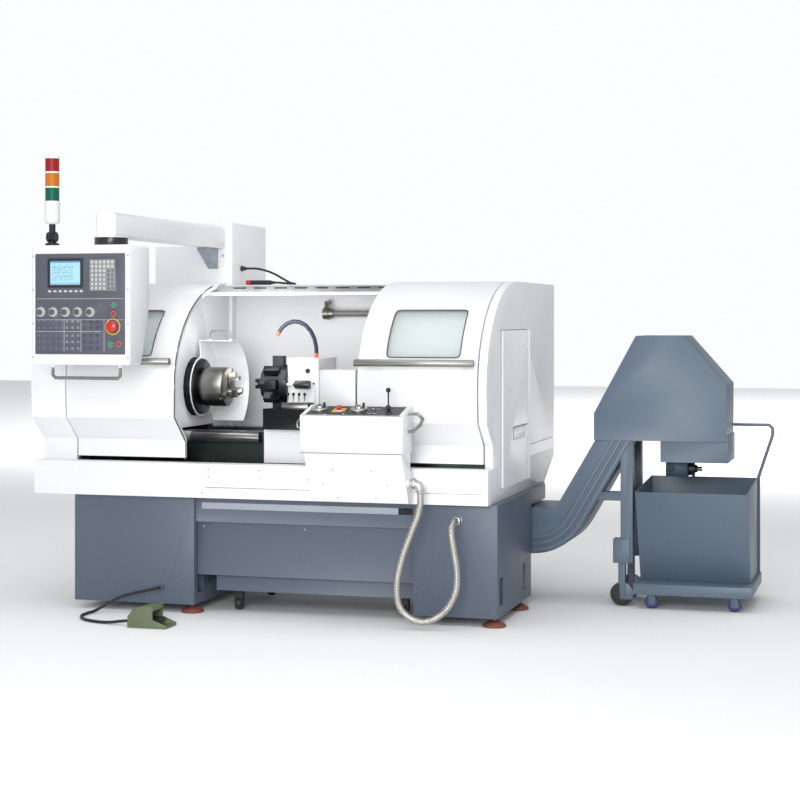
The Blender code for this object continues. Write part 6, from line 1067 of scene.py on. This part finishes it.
run = [Vector((conduit["from"] + conduit["pitch"] * number, conduit["deep"], conduit["height"]))
       for number in range(conduit["rings"])]
turnPoint = run[-1] + Vector((0, conduit["bend"], 0))
for step in range(1, conduit["bendSteps"] + 1):
    angle = math.pi / 2 * step / conduit["bendSteps"]
    run.append(turnPoint + Vector((math.sin(angle), -math.cos(angle), 0)) * conduit["bend"])
run.append(Vector((turnPoint.x + conduit["bend"], conduit["wall"], conduit["height"])))
pipe.tube(run, conduit["radius"], 16, conduit["rib"])
pipe.finish("machine", hoseBraid)

# Lamp plug on the roof
rods("lampGland", [((0.6602, 1.24, 1.776), (0.672, 1.24, 1.776), 0.016, None, 6),
                   ((0.671, 1.24, 1.776), (0.690, 1.24, 1.776), 0.012, 0.010, 20)], "machine", black)
rods("lampPlug", [((0.742, 1.185, 1.6935), (0.862, 1.185, 1.6935), 0.0135),
                  ((0.862, 1.185, 1.6935), (0.885, 1.185, 1.6935), 0.0105, 0.0075, 20)], "machine", black)
rods("lampEnd", [((0.714, 1.185, 1.6940), (0.742, 1.185, 1.6940), 0.0140)], "machine", stopRed)
print("rail, drive and conduit made")

# Cords: where each runs, how thick it is and what it moves with
lamp = {"name": "lampLead", "radius": 0.0062, "material": cableBlack, "body": "machine", "node": None,
        "route": (
    (0.690, 1.24, 1.776), (0.715, 1.24, 1.776), (0.760, 1.241, 1.774), (0.810, 1.243, 1.763),
    (0.860, 1.245, 1.744), (0.910, 1.247, 1.717), (0.950, 1.246, 1.696), (0.980, 1.239, 1.688),
    (0.994, 1.222, 1.6866), (0.991, 1.202, 1.6866), (0.974, 1.188, 1.6874), (0.945, 1.185, 1.6895),
    (0.912, 1.185, 1.6925), (0.884, 1.185, 1.6935))}
hose = {"name": "apronHoseBraid", "radius": 0.016, "material": hoseBraid, "body": None, "node": "apron_hose",
        "start": (2.092, -0.10, 0.655), "leaves": (0, 0, -1), "end": (2.235, 0.020, 0.512),
        "enters": (0, -1, 0), "straight": 0.024, "route": (
    (2.078, -0.101, 0.545), (2.050, -0.105, 0.470), (2.006, -0.110, 0.350), (1.979, -0.112, 0.225),
    (1.988, -0.112, 0.120), (2.036, -0.110, 0.062), (2.101, -0.106, 0.040), (2.170, -0.098, 0.062),
    (2.228, -0.092, 0.116), (2.263, -0.088, 0.192), (2.268, -0.084, 0.276), (2.256, -0.082, 0.360),
    (2.243, -0.079, 0.430), (2.236, -0.068, 0.482))}
lead = {"name": "footLead", "radius": 0.0075, "material": cableBlack, "body": "machine", "node": "foot_cord",
        "start": (0.690, 0.024, 0.128), "leaves": (0, -1, 0), "end": (0.702, -0.365, 0.022),
        "enters": (-1, 0, 0), "straight": 0.011, "route": (
    (0.678, -0.010, 0.126), (0.655, -0.015, 0.121), (0.620, -0.016, 0.112), (0.560, -0.016, 0.098),
    (0.500, -0.018, 0.080), (0.450, -0.026, 0.056), (0.408, -0.048, 0.030), (0.380, -0.085, 0.012),
    (0.364, -0.135, 0.008), (0.366, -0.190, 0.008), (0.386, -0.245, 0.008), (0.424, -0.295, 0.008),
    (0.480, -0.332, 0.008), (0.545, -0.353, 0.0082), (0.605, -0.362, 0.0115), (0.648, -0.365, 0.018))}


# Points read from a smooth curve through a route's own points
def smoothRoute(points, steps=6):
    places = [Vector(point) for point in points]
    ends = [places[0] * 2 - places[1]] + places + [places[-1] * 2 - places[-2]]
    route = []
    for before, first, second, after in zip(ends, ends[1:], ends[2:], ends[3:]):
        for step in range(steps):
            share = step / steps
            curve = first * 2 + (second - before) * share
            curve += (before * 2 - first * 5 + second * 4 - after) * share ** 2
            curve += (first * 3 - before - second * 3 + after) * share ** 3
            route.append(curve / 2)
    return route + [places[-1]]


# A cord leaves its socket square to the face, from just clear of it
def straightRun(face, direction, run):
    return [Vector(face) + Vector(direction) * (0.0003 + run * step) for step in range(3)]


# A cord's round tube, in place of the CAD solid that holds its room
def laidCord(cord, **facts):
    points = list(cord["route"])
    if "start" in cord:
        points = straightRun(cord["start"], cord["leaves"], cord["straight"]) + points
        points += straightRun(cord["end"], cord["enters"], cord["straight"])[::-1]
    line = smoothRoute(points)
    tube = Shape(cord["name"])
    tube.tube(line, cord["radius"], 20)
    piece = tube.finish(cord["body"], cord["material"])
    if cord["node"]:
        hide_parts(cord["node"])
    line = [point + origin for point in line]
    length = sum((second - first).length for first, second in zip(line, line[1:]))
    print(cord["name"], "is", round(length, 3), "m long")
    return piece, points


laidCord(lamp, stiffness="limp", lay="loose")
braided, points = laidCord(hose, stiffness="medium", lay="hanging")
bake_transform(braided)
laidCord(lead, stiffness="medium", lay="loose")
print("cords laid")

# Floor, light and camera
studio = {"floor": rgb(0.93, 0.93, 0.93), "floorSize": 30, "sky": rgb(0.97, 0.985, 1.0), "skyLight": 0.64,
          "skySeen": 1.0, "lens": 79.875, "shift": -0.101, "camera": (4.336, -8.28, 1.486), "heading": 16}
lights = {"keyLight": ((1.0, -8.6, 2.6), (0, 0, 0.9), 3.5, 370),  # place, target, size and power
          "topLight": ((0, -2.0, 6.5), (0, 0, 0), 6.0, 130),
          "backLight": ((0, 14.0, 6.0), (0, 17.5, 0), 14.0, 1500),
          "workLight": ((-0.80, -0.33, 1.42), (-0.80, 0.6, 1.1), 0.5, 3.2)}
floor = addObject("studioFloor", bpy.data.meshes.new("studioFloor"))
ground = bmesh.new()
bmesh.ops.create_grid(ground, x_segments=1, y_segments=1, size=studio["floorSize"])
ground.to_mesh(floor.data)
ground.free()
floor.location.z = -0.0005
ground = Graph("studioFloor")
sheen = ground.noise(2, 2).ramp(0.3, 0.7, 0.7, 0.78)
floor.data.materials.append(ground.set(colour=studio["floor"], rough=sheen))
floor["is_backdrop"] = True

bpy.context.scene.view_settings.view_transform = "Standard"
world = bpy.data.worlds.new("studio")
bpy.context.scene.world = world
world.use_nodes = True
backdrop = world.node_tree.nodes["Background"]
backdrop.inputs[0].default_value = studio["sky"]
sight = world.node_tree.nodes.new("ShaderNodeLightPath")
strength = world.node_tree.nodes.new("ShaderNodeMix")
strength.inputs[2].default_value = studio["skyLight"]
strength.inputs[3].default_value = studio["skySeen"]
world.node_tree.links.new(sight.outputs["Is Camera Ray"], strength.inputs[0])
world.node_tree.links.new(strength.outputs[0], backdrop.inputs[1])
for name, (place, target, size, power) in lights.items():
    data = bpy.data.lights.new(name, "AREA")
    data.energy = power
    data.size = size
    light = addObject(name, data)
    light.location = place
    light.rotation_euler = (Vector(target) - Vector(place)).to_track_quat("-Z", "Y").to_euler()

cameraData = bpy.data.cameras.new("camera")
cameraData.sensor_width = 36
cameraData.lens = studio["lens"]
cameraData.shift_y = studio["shift"]
camera = addObject("camera", cameraData)
camera.location = at(*studio["camera"])
camera.rotation_euler = (math.pi / 2, 0, math.radians(studio["heading"]))
bpy.context.scene.camera = camera

low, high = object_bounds()
print("scene ready")
